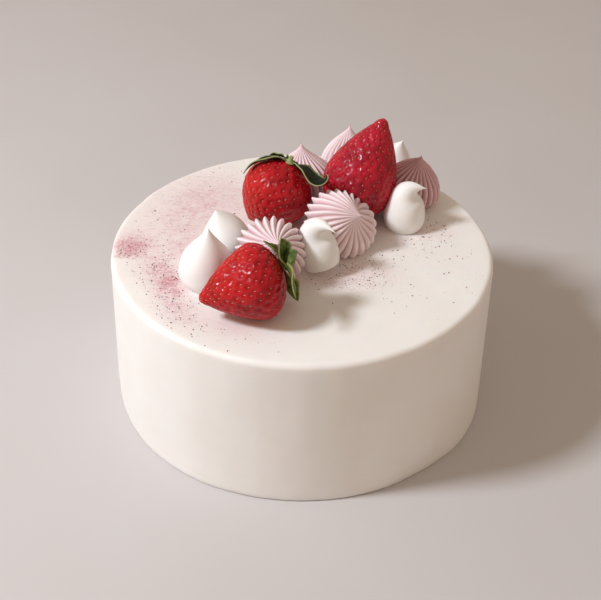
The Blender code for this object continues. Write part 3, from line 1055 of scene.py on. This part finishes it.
PINK = Nozzle.STAR
WHITE = Nozzle.ROUND
KISSES = (
    PipedKiss("pink_kiss_front", PINK, -15.0, -20.3, 16.4, 27.5, 48, -79, 6, 45, 0.25, 1.4, 0.0, 0, -18),
    PipedKiss("pink_kiss_middle", PINK, 16.6, 5.8, 18.0, 20.0, 35, -58, 46, -22, 0.25, 1.37, 0.0, 5, -28),
    PipedKiss("pink_kiss_back_left", PINK, -0.7, 52.0, 16.6, 24.9, 7, 107, 1, 90, 0.25, 0.9, 0.9, 0, 12),
    PipedKiss("pink_kiss_back", PINK, 23.6, 68.2, 14.6, 26.6, 9, 138, 16, 20, 0.25, 0.8, 0.9, 8, 10),
    PipedKiss("pink_kiss_right", PINK, 52.0, 44.0, 14.8, 26.2, 12, 8, 16, -90, 0.25, 0.66, 1.1, 3, -6),
    PipedKiss("white_kiss_front", WHITE, -43.2, -28.7, 12.7, 28.5, 11, -78, 16, 81, 0.25, 0.89, 0.32, 0, 0),
    PipedKiss("white_kiss_left", WHITE, -34.5, -7.2, 11.9, 24.5, 9, 166, 17, -134, 0.25, 0.79, 0.26, 0, 0),
    PipedKiss("white_kiss_middle", WHITE, 9.6, -18.0, 9.3, 35.0, 21, 148, 126, -44, 0.23, 1.12, 0.84, 0, 0),
    PipedKiss("white_kiss_right", WHITE, 49.2, 21.4, 10.0, 29.6, 2, 167, 98, -14, 0.42, 0.56, 1.0, 0, 0),
    PipedKiss("white_kiss_back", WHITE, 44.9, 65.0, 9.1, 23.4, 10, 35, 25, -70, 0.25, 0.46, 1.0, 0, 0),
)
# Painted shade: the kiss that stands in the back strawberry's shadow gets a darker, rosier copy of the pink
# cream
SHADED_PINK_KISSES = ("pink_kiss_right",)
# The kiss that gives way comes first, and what it leans on second
PRESSED_BY = (
    ("pink_kiss_middle", "strawberry_back"),
    ("pink_kiss_right", "strawberry_back"),
    ("pink_kiss_front", "strawberry_front"),
    ("pink_kiss_back_left", "strawberry_left"),
    ("pink_kiss_back", "pink_kiss_back_left"),
    ("white_kiss_middle", "pink_kiss_middle"),
    ("white_kiss_middle", "pink_kiss_front"),
    ("white_kiss_back", "pink_kiss_right"),
    ("white_kiss_back", "pink_kiss_back"),
    ("white_kiss_front", "pink_kiss_front"),
    ("white_kiss_left", "white_kiss_front"),
    ("white_kiss_right", "pink_kiss_right"),
    ("white_kiss_right", "strawberry_back"),
)


# Strawberries

@dataclass(frozen=True)
class Strawberry:
    """A whole strawberry: a round shoulder, a taper to a blunt tip, pits and seeds.

    x and y are where the middle of the shoulder is. The berry points from there to its
    tip, tilted by lean towards a compass direction. taper above 1 keeps it full.
    """

    name: str
    x: float
    y: float
    radius: float
    length: float
    lean: float
    toward: float
    shoulder: float
    taper: float
    seeds: int
    unripe: float

    TAPER_FULLNESS = 0.8
    TIP_BLUNTNESS = 0.66
    SINK = 0.25
    PIT_REACH = 1.6
    PIT_OVAL = 1.3
    PIT_DEPTH = 0.48
    HOLE_REACH = 0.5
    HOLE_DEPTH = 0.08
    ROUGH_DEPTH = 0.1
    PROFILE_STEPS = 400
    TIP_CROWDING = 1.35
    LAMP_SIDE = Vector((-0.93, -0.2, 0.3))
    SKIN_SIDES = 64
    SKIN_RINGS = 44
    NEXT_PITS = 3
    SEED_DRIFT = 0.013
    SEED_TURN = 0.07
    SEED_TILT = 0.25
    SEED_LIFT = 0.08
    SEED_HALF = (0.54, 0.17, 0.2)
    SEED_POINT = 0.35

    def size(self, share: float) -> float:
        """The radius at a share of the length.

        Args:
            share: That share, from the shoulder at 0 to the tip at 1.

        Returns:
            The radius as a share of the largest.
        """
        if share < self.shoulder:
            return math.sqrt(max(1.0 - ((self.shoulder - share) / self.shoulder) ** 2, 0.0))
        part = (share - self.shoulder) / (1.0 - self.shoulder)
        tapered = max(1.0 - part ** self.taper, 0.0) ** self.TAPER_FULLNESS
        return max(tapered, self.TIP_BLUNTNESS * math.sqrt(max(1.0 - part, 0.0)))

    def axes(self) -> tuple[Vector, Vector, Vector]:
        """The berry's own directions.

        Returns:
            Its long axis and two across it.
        """
        axis = direction(self.lean, self.toward)
        across, away = cross_axes(axis)
        return axis, across, away

    def skin_shares(self) -> tuple[list[float], list[float]]:
        """Where equal steps along the skin lie, and equal areas of it.

        Returns:
            Two tables of shares of the length, from the shoulder to the tip.
        """
        steps = self.PROFILE_STEPS * 10
        shares = [0.5 - 0.5 * math.cos(math.pi * step / steps) for step in range(steps + 1)]
        walked, covered = [0.0], [0.0]
        for low, high in zip(shares, shares[1:]):
            rise = (high - low) * self.length
            out = (self.size(high) - self.size(low)) * self.radius
            stride = math.hypot(rise, out)
            walked.append(walked[-1] + stride)
            covered.append(covered[-1] + stride * (self.size(high) + self.size(low)))
        by_walk = resampled(walked, shares, self.PROFILE_STEPS)
        return by_walk, resampled(covered, shares, self.PROFILE_STEPS)

    def skin_place(self, share: float, bearing: float) -> Vector:
        """A place on the smooth skin.

        Args:
            share: The share of the length.
            bearing: The bearing round the long axis, in radians.

        Returns:
            The place, with the middle of the shoulder at the origin.
        """
        axis, across, away = self.axes()
        out = across * math.cos(bearing) + away * math.sin(bearing)
        uneven = 1.0 + 0.022 * noise.noise(out * 1.3 + axis * share * 2.0 + Vector((self.x, self.y, 0.0)))
        return (axis * share * self.length + out * self.size(share) * self.radius * uneven) * MM

    def toward_tip(self, share: float, bearing: float) -> Vector:
        """The direction along the skin to the tip, at a place on it."""
        low, high = max(share - 0.004, 0.0), min(share + 0.004, 1.0)
        return (self.skin_place(high, bearing) - self.skin_place(low, bearing)).normalized()

    def keep_off(self, place: Vector, lift: float) -> Vector:
        """Keep a place clear of the skin.

        Args:
            place: The place, with the middle of the shoulder at the origin.
            lift: How far off the skin it has to be.

        Returns:
            The place, moved out where it was closer.
        """
        axis = self.axes()[0]
        along = place.dot(axis)
        beside = place - axis * along
        length, radius = self.length * MM, self.radius * MM
        depth = self.shoulder * length
        if along >= depth:
            limit = self.size(min(along / length, 1.0)) * radius + lift
            return axis * along + beside.normalized() * max(beside.length, limit)
        centre = axis * depth
        reach = math.hypot(beside.length / (radius + lift), (depth - along) / (depth + lift))
        return centre + (place - centre) / min(reach, 1.0)

    def base(self) -> Vector:
        """Lay the berry on the cake.

        Returns:
            Where the middle of its shoulder is then.
        """
        _, areas = self.skin_shares()
        lowest = min(
            self.skin_place(areas[step], 2.0 * math.pi * side / 120).z
            for step in range(0, self.PROFILE_STEPS + 1, 2) for side in range(120)
        )
        return Vector((self.x, self.y, CreamCake.height - self.SINK)) * MM - UP * lowest

    def seed_spots(self, areas: Sequence[float]) -> list[tuple[float, float, float]]:
        """Set out the seeds in staggered spirals that crowd at the tip.

        Args:
            areas: The share of the length at equal areas of skin.

        Returns:
            Share of the length, bearing and relative room of each seed.
        """
        draw = random.Random(self.name)
        spots = []
        for number in range(self.seeds):
            left = 1.0 - (number + 0.5) / self.seeds
            share = value_at(areas, 1.0 - left ** self.TIP_CROWDING)
            room = math.sqrt(self.TIP_CROWDING * left ** (self.TIP_CROWDING - 1.0))
            bearing = number * GOLDEN_ANGLE
            spots.append((
                min(max(share + draw.uniform(-self.SEED_DRIFT, self.SEED_DRIFT), 0.004), 0.996),
                bearing + draw.uniform(-self.SEED_TURN, self.SEED_TURN),
                room,
            ))
        return spots

    def build(self, skin: bpy.types.Material, husk: bpy.types.Material) -> bpy.types.Object:
        """Make the berry with its pits, and the seeds that sit in them.

        Args:
            skin: The finish of the berry.
            husk: The finish of the seeds.

        Returns:
            The berry.
        """
        walk, areas = self.skin_shares()
        rings = [(0.002 * MM, 0.0)]
        for step in range(1, self.SKIN_RINGS):
            part = step / self.SKIN_RINGS
            rings.append((self.size(value_at(walk, part)) * self.radius * MM, self.length * MM * part))
        rings.append((0.002 * MM, self.length * MM))
        berry = turned_cage(self.name + "_flesh", self.SKIN_SIDES, rings)
        refine(berry, 2)
        base = self.base()

        def on_skin(point: Vector) -> Vector:
            """Put a point of the upright form on the berry's skin."""
            share = value_at(walk, min(max(point.z / (self.length * MM), 0.0), 1.0))
            return self.skin_place(share, math.atan2(point.y, point.x)) + base

        carve(berry, on_skin)
        weld(berry)
        spots = self.seed_spots(areas)
        tree = KDTree(len(spots))
        for number, (share, bearing, _) in enumerate(spots):
            tree.insert(self.skin_place(share, bearing) + base, number)
        tree.balance()
        lengthways = [self.toward_tip(share, bearing) for share, bearing, _ in spots]
        depths = []
        normals = [vert.normal.copy() for vert in berry.data.vertices]
        for vert, normal in zip(berry.data.vertices, normals):
            pit = 0.0
            for spot, number, _ in tree.find_n(vert.co, self.NEXT_PITS):
                own = spots[number][2] * (1.0 + 0.2 * noise.noise(Vector((number * 1.37, self.radius, 0.0))))
                off = (vert.co - spot) / MM
                ahead = off.dot(lengthways[number])
                aside = off.length_squared - ahead * ahead
                near = math.sqrt(max(aside, 0.0) + (ahead / self.PIT_OVAL) ** 2)
                bowl = max(1.0 - (near / (self.PIT_REACH * own)) ** 2, 0.0) ** 1.2
                hole = math.exp(-((near / self.HOLE_REACH) ** 2))
                pit = max(pit, bowl * self.PIT_DEPTH * own + hole * self.HOLE_DEPTH)
            rough = noise.noise(vert.co / (1.6 * MM)) * self.ROUGH_DEPTH
            vert.co += normal * (rough - pit) * MM
            depths.append(pit / (self.PIT_DEPTH + self.HOLE_DEPTH))
        berry.data.update()
        note(berry, "pit", depths)
        # Painted light: the side that faces the lamp is painted more orange
        lamp_facing = [smooth(0.15, 0.95, side.dot(self.LAMP_SIDE)) for side in normals]
        note(berry, "unripe", [self.unripe * share for share in lamp_facing])
        smooth_over(berry)
        hand_over(berry, skin, "strawberry_skin", self.name)
        seeds = self.sow(spots, base)
        hand_over(seeds, husk, "strawberry_skin")
        return berry

    def sow(self, spots: Sequence[tuple[float, float, float]], base: Vector) -> bpy.types.Object:
        """Lay a seed in each pit, pointing to the tip.

        Args:
            spots: Share, bearing and room of each seed.
            base: Where the middle of the shoulder is.

        Returns:
            All the seeds as one piece.
        """
        leave_edit_mode()
        bpy.ops.mesh.primitive_uv_sphere_add(segments=8, ring_count=6, radius=1.0)
        master = bpy.context.object
        # A seed is a drop, about 1.1 x 0.3 x 0.4 mm, pointed at the end towards the tip
        long, wide, high = self.SEED_HALF
        point = self.SEED_POINT
        carve(master, lambda p: Vector((p.x * long, p.y * wide * (1.0 - point * p.x), p.z * high)) * MM)
        draw = random.Random(self.name + "_seeds")
        places = []
        for share, bearing, room in spots:
            here = self.skin_place(share, bearing)
            ahead = self.toward_tip(share, bearing)
            beside = self.skin_place(share, bearing + 0.02) - self.skin_place(share, bearing - 0.02)
            outward = ahead.cross(beside).normalized()
            if outward.dot(here - self.axes()[0] * self.length * 0.4 * MM) < 0.0:
                outward = -outward
            beside = outward.cross(ahead)
            turn = Matrix((ahead, beside, outward)).transposed().to_4x4()
            sunk = (self.PIT_DEPTH * room + self.HOLE_DEPTH - self.SEED_LIFT) * MM
            tilt = Matrix.Rotation(draw.uniform(-self.SEED_TILT, self.SEED_TILT), 4, "Z")
            grown = Matrix.Diagonal((draw.uniform(0.8, 1.12) * (0.5 + 0.5 * room),) * 3 + (1.0,))
            places.append(Matrix.Translation(base + here - outward * sunk) @ turn @ tilt @ grown)
        return strew(self.name + "_seeds", master, places)


def resampled(along: Sequence[float], values: Sequence[float], steps: int) -> list[float]:
    """Read values off at equal steps of a running total.

    Args:
        along: The running total at each value.
        values: The values.
        steps: How many steps are wanted.

    Returns:
        The values at the steps, both ends included.
    """
    made, place = [], 0
    for step in range(steps + 1):
        wanted = along[-1] * step / steps
        while place < len(along) - 2 and along[place + 1] < wanted:
            place += 1
        span = along[place + 1] - along[place]
        part = (wanted - along[place]) / span if span else 0.0
        made.append(values[place] + (values[place + 1] - values[place]) * min(max(part, 0.0), 1.0))
    return made


def value_at(table: Sequence[float], share: float) -> float:
    """Read a value out of a table of equal steps.

    Args:
        table: The table.
        share: The share of its length.

    Returns:
        The value there.
    """
    place = share * (len(table) - 1)
    low = min(int(place), len(table) - 2)
    return table[low] + (table[low + 1] - table[low]) * (place - low)


BERRIES = (
    Strawberry("strawberry_left", -2.0, 29.6, 17.2, 34.7, 129, -153, 0.43, 2.1, 260, 0.45),
    Strawberry("strawberry_back", 20.8, 26.8, 17.9, 52.2, 23, 34, 0.38, 1.35, 340, 0.0),
    Strawberry("strawberry_front", -7.6, -49.7, 17.4, 38.8, 103, -166.5, 0.32, 1.35, 290, 0.35),
)


# Calyxes

@dataclass(frozen=True)
class Sepal:
    """One leaf of a calyx.

    root is where on the hub's edge it starts and around the way that it grows, both about
    the berry's axis. rise is how far it starts to lift, bend how it goes on, hook the
    extra turn of its end, sway its side bend and roll its turn about its own length.
    """

    root: float
    around: float
    length: float
    width: float
    rise: float
    bend: float
    hook: float
    sway: float
    roll: float


@dataclass(frozen=True)
class Calyx:
    """The green star on a berry's shoulder, with its stub of stem."""

    name: str
    berry: Strawberry
    around: float
    offset: float
    stem: float
    sepals: tuple[Sepal, ...]

    HUB_RADIUS = 2.6
    HUB_LIFT = 0.7
    SIDE_LIFT = 0.8
    ROOT_HALF = 0.75
    CUPPING = 0.2
    RIPPLE = 0.14
    RIPPLE_TURN = 1.3
    ROLL_PACE = 1.4
    ROOT_AT = 0.25
    ROUNDNESS = 0.8
    THICKNESS = 0.45
    STEPS = 32
    ACROSS = 8

    def middle(self) -> Vector:
        """Where the hub sits over the shoulder.

        Returns:
            The place, with the middle of the shoulder at the origin.
        """
        axis, across, away = self.berry.axes()
        bearing = math.radians(self.around)
        out = across * math.cos(bearing) + away * math.sin(bearing)
        depth = self.berry.shoulder * self.berry.length
        share = min(self.offset / (self.berry.radius + self.HUB_LIFT), 1.0)
        along = depth - (depth + self.HUB_LIFT) * math.sqrt(1.0 - share * share)
        return (out * self.offset + axis * along) * MM

    def frame_of_hub(self) -> tuple[Vector, Vector, Vector]:
        """The hub's own directions.

        Returns:
            The one that points outwards and two across it.
        """
        axis, across, _ = self.berry.axes()
        outward = (self.middle() - axis * self.berry.shoulder * self.berry.length * MM).normalized()
        aside = (across - outward * across.dot(outward)).normalized()
        return outward, aside, aside.cross(outward)

    def leaf(self, number: int, sepal: Sepal) -> bpy.types.Object:
        """Draw one sepal out of a grid, along its path and off the berry's skin.

        Args:
            number: Which sepal it is.
            sepal: Its sizes.

        Returns:
            The sepal, thickened, with a map that runs along it and across it.
        """
        leave_edit_mode()
        bpy.ops.mesh.primitive_grid_add(
            x_subdivisions=self.STEPS, y_subdivisions=self.ACROSS, size=2.0, calc_uvs=True,
        )
        blade = bpy.context.object
        blade.name = f"{self.name}_sepal_{number}"
        axis, across, away = self.berry.axes()
        outward, aside, upward = self.frame_of_hub()
        start = math.radians(sepal.root)
        root = (aside * math.cos(start) + upward * math.sin(start)) * self.HUB_RADIUS * MM
        place = self.berry.keep_off(self.middle() + root * 0.8, self.HUB_LIFT * MM)
        rows = []
        stride = sepal.length * MM / self.STEPS
        for step in range(self.STEPS + 1):
            share = step / self.STEPS
            tilt = math.radians(sepal.rise + sepal.bend * share + sepal.hook * share ** 4)
            bearing = math.radians(sepal.around + sepal.sway * share)
            out = across * math.cos(bearing) + away * math.sin(bearing)
            side = away * math.cos(bearing) - across * math.sin(bearing)
            along = out * math.cos(tilt) - axis * math.sin(tilt)
            roll = math.radians(sepal.roll) * min(share * self.ROLL_PACE, 1.0)
            side = Matrix.Rotation(roll, 3, along) @ side
            if step:
                place = self.berry.keep_off(place + along * stride, self.HUB_LIFT * MM)
            grown = self.ROOT_AT + (1.0 - self.ROOT_AT) * share
            half = sepal.width / 2.0 * max(math.sin(math.pi * grown), 0.0) ** self.ROUNDNESS
            half = (self.ROOT_HALF + (half - self.ROOT_HALF) * smooth(0.0, 0.2, share)) * MM
            if step == self.STEPS:
                half = 0.05 * MM
            ripple = self.RIPPLE * math.sin(share * 8.0 * self.RIPPLE_TURN)
            rows.append((place.copy(), side, side.cross(along), half, ripple))
        base = self.berry.base()

        def on_path(point: Vector) -> Vector:
            """Put a point of the flat grid on the sepal's path.

            Args:
                point: The point, between -1 and 1 along and across.

            Returns:
                Its place in the shared frame.
            """
            row = rows[round((point.x + 1.0) / 2.0 * self.STEPS)]
            middle, side, up, half, ripple = row
            width = point.y * (1.0 + 0.07 * noise.noise(Vector((point.x * 7.0, number * 3.0, self.offset))))
            fold = self.CUPPING * width * width - ripple * width - 0.05 * math.cos(width * math.pi * 3.0)
            lifted = middle + side * half * width + up * half * fold
            return self.berry.keep_off(lifted, self.SIDE_LIFT * MM) + base

        carve(blade, on_path)
        thick = blade.modifiers.new("thickness", "SOLIDIFY")
        thick.thickness = self.THICKNESS * MM
        thick.offset = 0.0
        pick(blade)
        bpy.ops.object.modifier_apply(modifier=thick.name)
        return blade

    def hub(self) -> bpy.types.Object:
        """Turn the domed hub that the sepals grow from, and the cut stub of stem on it.

        Returns:
            The hub in its place.
        """
        stem, hub = 1.15, self.HUB_RADIUS * 1.05
        rings = [
            (0.1, -0.9), (hub * 0.8, -0.8), (hub, -0.35), (hub * 0.92, 0.1), (stem * 1.5, 0.45),
            (stem, 0.8), (stem * 0.9, 0.4 + self.stem * 0.7), (stem, 0.6 + self.stem),
            (stem * 0.8, 0.72 + self.stem), (0.1, 0.5 + self.stem),
        ]
        core = turned_cage(self.name + "_hub", 20, [(radius * MM, height * MM) for radius, height in rings])
        refine(core, 1, "CATMULL_CLARK")
        outward, aside, upward = self.frame_of_hub()
        turn = Matrix((aside, upward, outward)).transposed()
        base = self.berry.base() + self.middle()
        carve(core, lambda point: turn @ point + base)
        return core

    def build(self, material: bpy.types.Material) -> bpy.types.Object:
        """Grow the sepals round the hub and join them to one piece.

        Args:
            material: The finish of the leaves.

        Returns:
            The piece.
        """
        core = self.hub()
        blades = [self.leaf(number, sepal) for number, sepal in enumerate(self.sepals)]
        pick(core)
        for blade in blades:
            blade.select_set(True)
        bpy.ops.object.join()
        core.name = self.name + "_leaves"
        core.data.name = core.name
        pick(core)
        bpy.ops.object.mode_set(mode="EDIT")
        bpy.ops.mesh.select_all(action="SELECT")
        bpy.ops.mesh.normals_make_consistent(inside=False)
        leave_edit_mode()
        smooth_over(core)
        hand_over(core, material, "strawberry_leaf", self.name)
        return core


LEFT_BERRY, _, FRONT_BERRY = BERRIES
CALYXES = (
    Calyx("calyx_left", LEFT_BERRY, 80, 8.5, 2.2, (
        Sepal(-30, -19, 24.6, 9.5, 31, -98, 241, 0, 58),
        Sepal(95, 127, 22.8, 7.0, -25, -68, -10, 0, 0),
        Sepal(158, 176, 10.0, 5.0, -20, -60, 10, 0, 0),
        Sepal(215, 226, 13.0, 5.5, -10, -60, 30, 0, 0),
        Sepal(270, 280, 12.0, 5.0, -5, -60, 30, 0, 0),
    )),
    Calyx("calyx_front", FRONT_BERRY, 140, 3.5, 1.2, (
        Sepal(0, 20, 22.8, 7.6, 21, -61, 47, -44, 0),
        Sepal(45, 62, 11.5, 10.0, 9, 60, 9, -2, 0),
        Sepal(85, 77, 13.8, 9.5, 29, -45, 20, 10, -60),
        Sepal(128, 90, 14.1, 6.6, 11, -84, 57, 2, 0),
        Sepal(195, 201, 8.6, 4.0, -8, -30, 18, 52, 0),
        Sepal(258, 249, 19.4, 9.0, 4, 0, 12, 46, -65),
    )),
)


# Dusting

@dataclass(frozen=True)
class Sprinkle:
    """Something dry that was strewn over the cake's top."""

    name: str
    count: int
    smallest: float
    largest: float
    patches: tuple[Patch, ...]
    everywhere: float
    finish: DriedBerry

    FIELD = 88.0
    OUTERMOST = 87.5
    DROP_HEIGHT = 200.0
    MOSTLY_SMALL = 2.6

    def build(self, cake: BVHTree, toppings: Sequence[BVHTree]) -> bpy.types.Object:
        """Strew it by the patches, where no topping stands.

        Args:
            cake: Search tree of the cake.
            toppings: Search trees of what stands on it.

        Returns:
            All of it as one piece.
        """
        leave_edit_mode()
        bpy.ops.mesh.primitive_uv_sphere_add(segments=6, ring_count=4, radius=1.0)
        crumb = bpy.context.object
        carve(crumb, lambda p: p * (1.0 + 0.35 * noise.noise(p * 1.9)))
        draw = random.Random(self.name)
        places: list[Matrix] = []
        while len(places) < self.count:
            x, y = draw.uniform(-self.FIELD, self.FIELD), draw.uniform(-self.FIELD, self.FIELD)
            chance = draw.random()
            turn = [draw.uniform(0.0, 2.0 * math.pi) for _ in range(3)]
            size = self.smallest + (self.largest - self.smallest) * draw.random() ** self.MOSTLY_SMALL
            flat = draw.uniform(0.45, 0.8)
            if math.hypot(x, y) > self.OUTERMOST or chance > density(self.patches, x, y) + self.everywhere:
                continue
            above = Vector((x, y, self.DROP_HEIGHT)) * MM
            spot = cake.ray_cast(above, -UP)[0]
            if spot is None or any(tree.ray_cast(above, -UP)[0] is not None for tree in toppings):
                continue
            size *= MM / 2.0
            settled = Matrix.Translation(spot + UP * size * flat * 0.5)
            shape = Matrix.Diagonal((size, size * draw.uniform(0.6, 1.0), size * flat, 1.0))
            lying = Matrix.Rotation(turn[0], 4, "Z") @ Matrix.Rotation(0.4 * math.sin(turn[1]), 4, "X")
            places.append(settled @ lying @ shape)
        piece = strew(self.name, crumb, places)
        hand_over(piece, self.finish.material(), "strawberry_skin")
        return piece


SPRINKLES = (
    Sprinkle(
        "crushed_berry_crumbs", 960, 0.22, 0.82, CRUMBS, 0.002,
        DriedBerry("freeze_dried_berry_crumbs", "5C1A1C", "A8494A"),
    ),
    Sprinkle(
        "berry_powder_grains", 1800, 0.14, 0.34, POWDER, 0.004,
        DriedBerry("freeze_dried_berry_powder", "B0606A", "DDA3A8"),
    ),
)


# Studio

@dataclass(frozen=True)
class Studio:
    """A pale floor, one soft lamp from the left and a warm soft fill, and the camera."""

    elevation: float = 35.80
    distance: float = 0.6546
    aim_height: float = 0.0475
    roll: float = 1.23
    focal_pixels: float = 1345.9
    middle_column: float = 301.2
    floor_width: float = 6.0
    lamp_bearing: float = 197.0
    lamp_elevation: float = 44.5
    lamp_aim_height: float = 0.07
    lamp_distance: float = 1.2
    lamp_width: float = 0.22
    lamp_power: float = 12.4
    lamp_colour: str = "F3F8FF"
    fill_above: str = "FFEED9"
    fill_beside: str = "F8D9C0"
    strength_above: float = 0.41
    strength_beside: float = 0.59

    def floor(self) -> None:
        """Lay the floor."""
        leave_edit_mode()
        bpy.ops.mesh.primitive_plane_add(size=self.floor_width, location=(0.0, 0.0, 0.0))
        ground = bpy.context.object
        ground.name = "pale_floor"
        bpy.ops.object.mode_set(mode="EDIT")
        bpy.ops.mesh.subdivide(number_cuts=3)
        leave_edit_mode()
        ground.data.materials.append(PaleFloor().material())

    def lamp(self) -> None:
        """Hang the key lamp where the shadows in the picture come from."""
        data = bpy.data.lights.new("softbox", "AREA")
        data.shape = "DISK"
        data.size = self.lamp_width
        data.energy = self.lamp_power
        data.color = linear(self.lamp_colour)[:3]
        lamp = bpy.data.objects.new("softbox", data)
        bpy.context.scene.collection.objects.link(lamp)
        aim = UP * self.lamp_aim_height
        back = direction(90.0 - self.lamp_elevation, self.lamp_bearing)
        lamp.location = aim + back * self.lamp_distance
        lamp.rotation_mode = "QUATERNION"
        lamp.rotation_quaternion = (-back).to_track_quat("-Z", "Y")

    def fill(self) -> None:
        """Light the room softly and warmly, more from the ceiling than from the walls."""
        world = bpy.data.worlds.new("soft_room")
        world.use_nodes = True
        tree = world.node_tree
        sky = tree.nodes["Background"]
        where = tree.nodes.new("ShaderNodeTexCoord")
        split = tree.nodes.new("ShaderNodeSeparateXYZ")
        ceiling = tree.nodes.new("ShaderNodeValToRGB")
        low, high = ceiling.color_ramp.elements
        low.position, high.position = 0.1, 0.9
        low.color = [part * self.strength_beside for part in linear(self.fill_beside)]
        high.color = [part * self.strength_above for part in linear(self.fill_above)]
        tree.links.new(where.outputs["Generated"], split.inputs["Vector"])
        tree.links.new(split.outputs["Z"], ceiling.inputs["Fac"])
        tree.links.new(ceiling.outputs["Color"], sky.inputs["Color"])
        bpy.context.scene.world = world

    def camera(self) -> None:
        """Set up the camera at the angle of the picture."""
        data = bpy.data.cameras.new("camera")
        data.sensor_width = 36.0
        data.lens = self.focal_pixels * data.sensor_width / IMAGE_WIDTH
        data.clip_start = 0.01
        eye = bpy.data.objects.new("camera", data)
        bpy.context.scene.collection.objects.link(eye)
        tilt = math.radians(self.elevation)
        yaw = math.atan((self.middle_column - IMAGE_WIDTH / 2.0) / self.focal_pixels)
        place = (0.0, -self.distance * math.cos(tilt), self.distance * math.sin(tilt) + self.aim_height)
        eye.matrix_world = (
            Matrix.Translation(place)
            @ Matrix.Rotation(math.pi / 2.0 - tilt, 4, "X")
            @ Matrix.Rotation(math.radians(self.roll), 4, "Z")
            @ Matrix.Rotation(yaw, 4, "Y")
        )
        bpy.context.scene.camera = eye

    def build(self) -> None:
        """Set up the floor, the light and the camera, and show colours as they are."""
        self.floor()
        self.lamp()
        self.fill()
        self.camera()
        bpy.context.scene.view_settings.view_transform = "Standard"
        bpy.context.scene.view_settings.look = "None"


# Main

def build_toppings() -> dict[str, bpy.types.Object]:
    """Make the berries, the kisses that are pressed against them, and the calyxes.

    Returns:
        The pieces by the names of their solids.
    """
    husk = SeedHusk().material()
    scarlet = BerrySkin().material()
    crimson = BerrySkin("overripe_strawberry_skin", "B7152C", "870A1C", "C84A5C").material()
    skins = {"strawberry_left": scarlet, "strawberry_front": scarlet, "strawberry_back": crimson}
    leaves = {
        # Painted shade: the left calyx lies in the left strawberry's shadow, so its leaves are painted
        # near-black, with a painted highlight along their edges
        "calyx_left": Leaf("strawberry_sepal_leaf_dark", "18210D", "0C1206", "2E3A1A", "B4BE84").material(),
        "calyx_front": Leaf().material(),
    }
    pink = PipedCream("pink_piped_cream", "EBD8DC", "E7CFD3", "BA7F87", "F9EFF0").material()
    # Painted shade: a darker copy of the pink cream, for the kiss in the back strawberry's shadow
    shaded_pink = PipedCream("rose_piped_cream", "D6AFB4", "CFA6AB", "9A6068", "E8CDD0").material()
    white = PipedCream(
        "white_piped_cream", "F6F5F3", "F4F2EE", "F4F2EE", "F6F5F3",
        glow=0.2, reach=2.4, spread=(1.0, 0.92, 0.84),
    ).material()
    made: dict[str, bpy.types.Object] = {}
    trees: dict[str, BVHTree] = {}
    for berry in BERRIES:
        made[berry.name] = berry.build(skins[berry.name], husk)
        trees[berry.name] = surface_tree(made[berry.name])
    for kiss in KISSES:
        firm = [trees[by] for soft, by in PRESSED_BY if soft == kiss.name]
        if kiss.nozzle is Nozzle.STAR:
            made[kiss.name] = kiss.build(firm, shaded_pink if kiss.name in SHADED_PINK_KISSES else pink, "pink_piping")
        else:
            made[kiss.name] = kiss.build(firm, white, "white_piping")
        trees[kiss.name] = surface_tree(made[kiss.name])
    for calyx in CALYXES:
        made[calyx.name] = calyx.build(leaves[calyx.name])
    return made


def corner(point: Vector) -> list[float]:
    """A corner as a plain list."""
    return [float(value) for value in point]


def main() -> None:
    """Build the studio and the dressed cake."""
    logging.basicConfig(level=logging.INFO, format="%(name)s: %(message)s")
    Studio().build()
    cake = CreamCake().build()
    toppings = build_toppings()
    trees = [surface_tree(piece) for piece in toppings.values()]
    for sprinkle in SPRINKLES:
        sprinkle.build(surface_tree(cake), trees)
    leave_edit_mode()


if __name__ == "__main__":
    main()
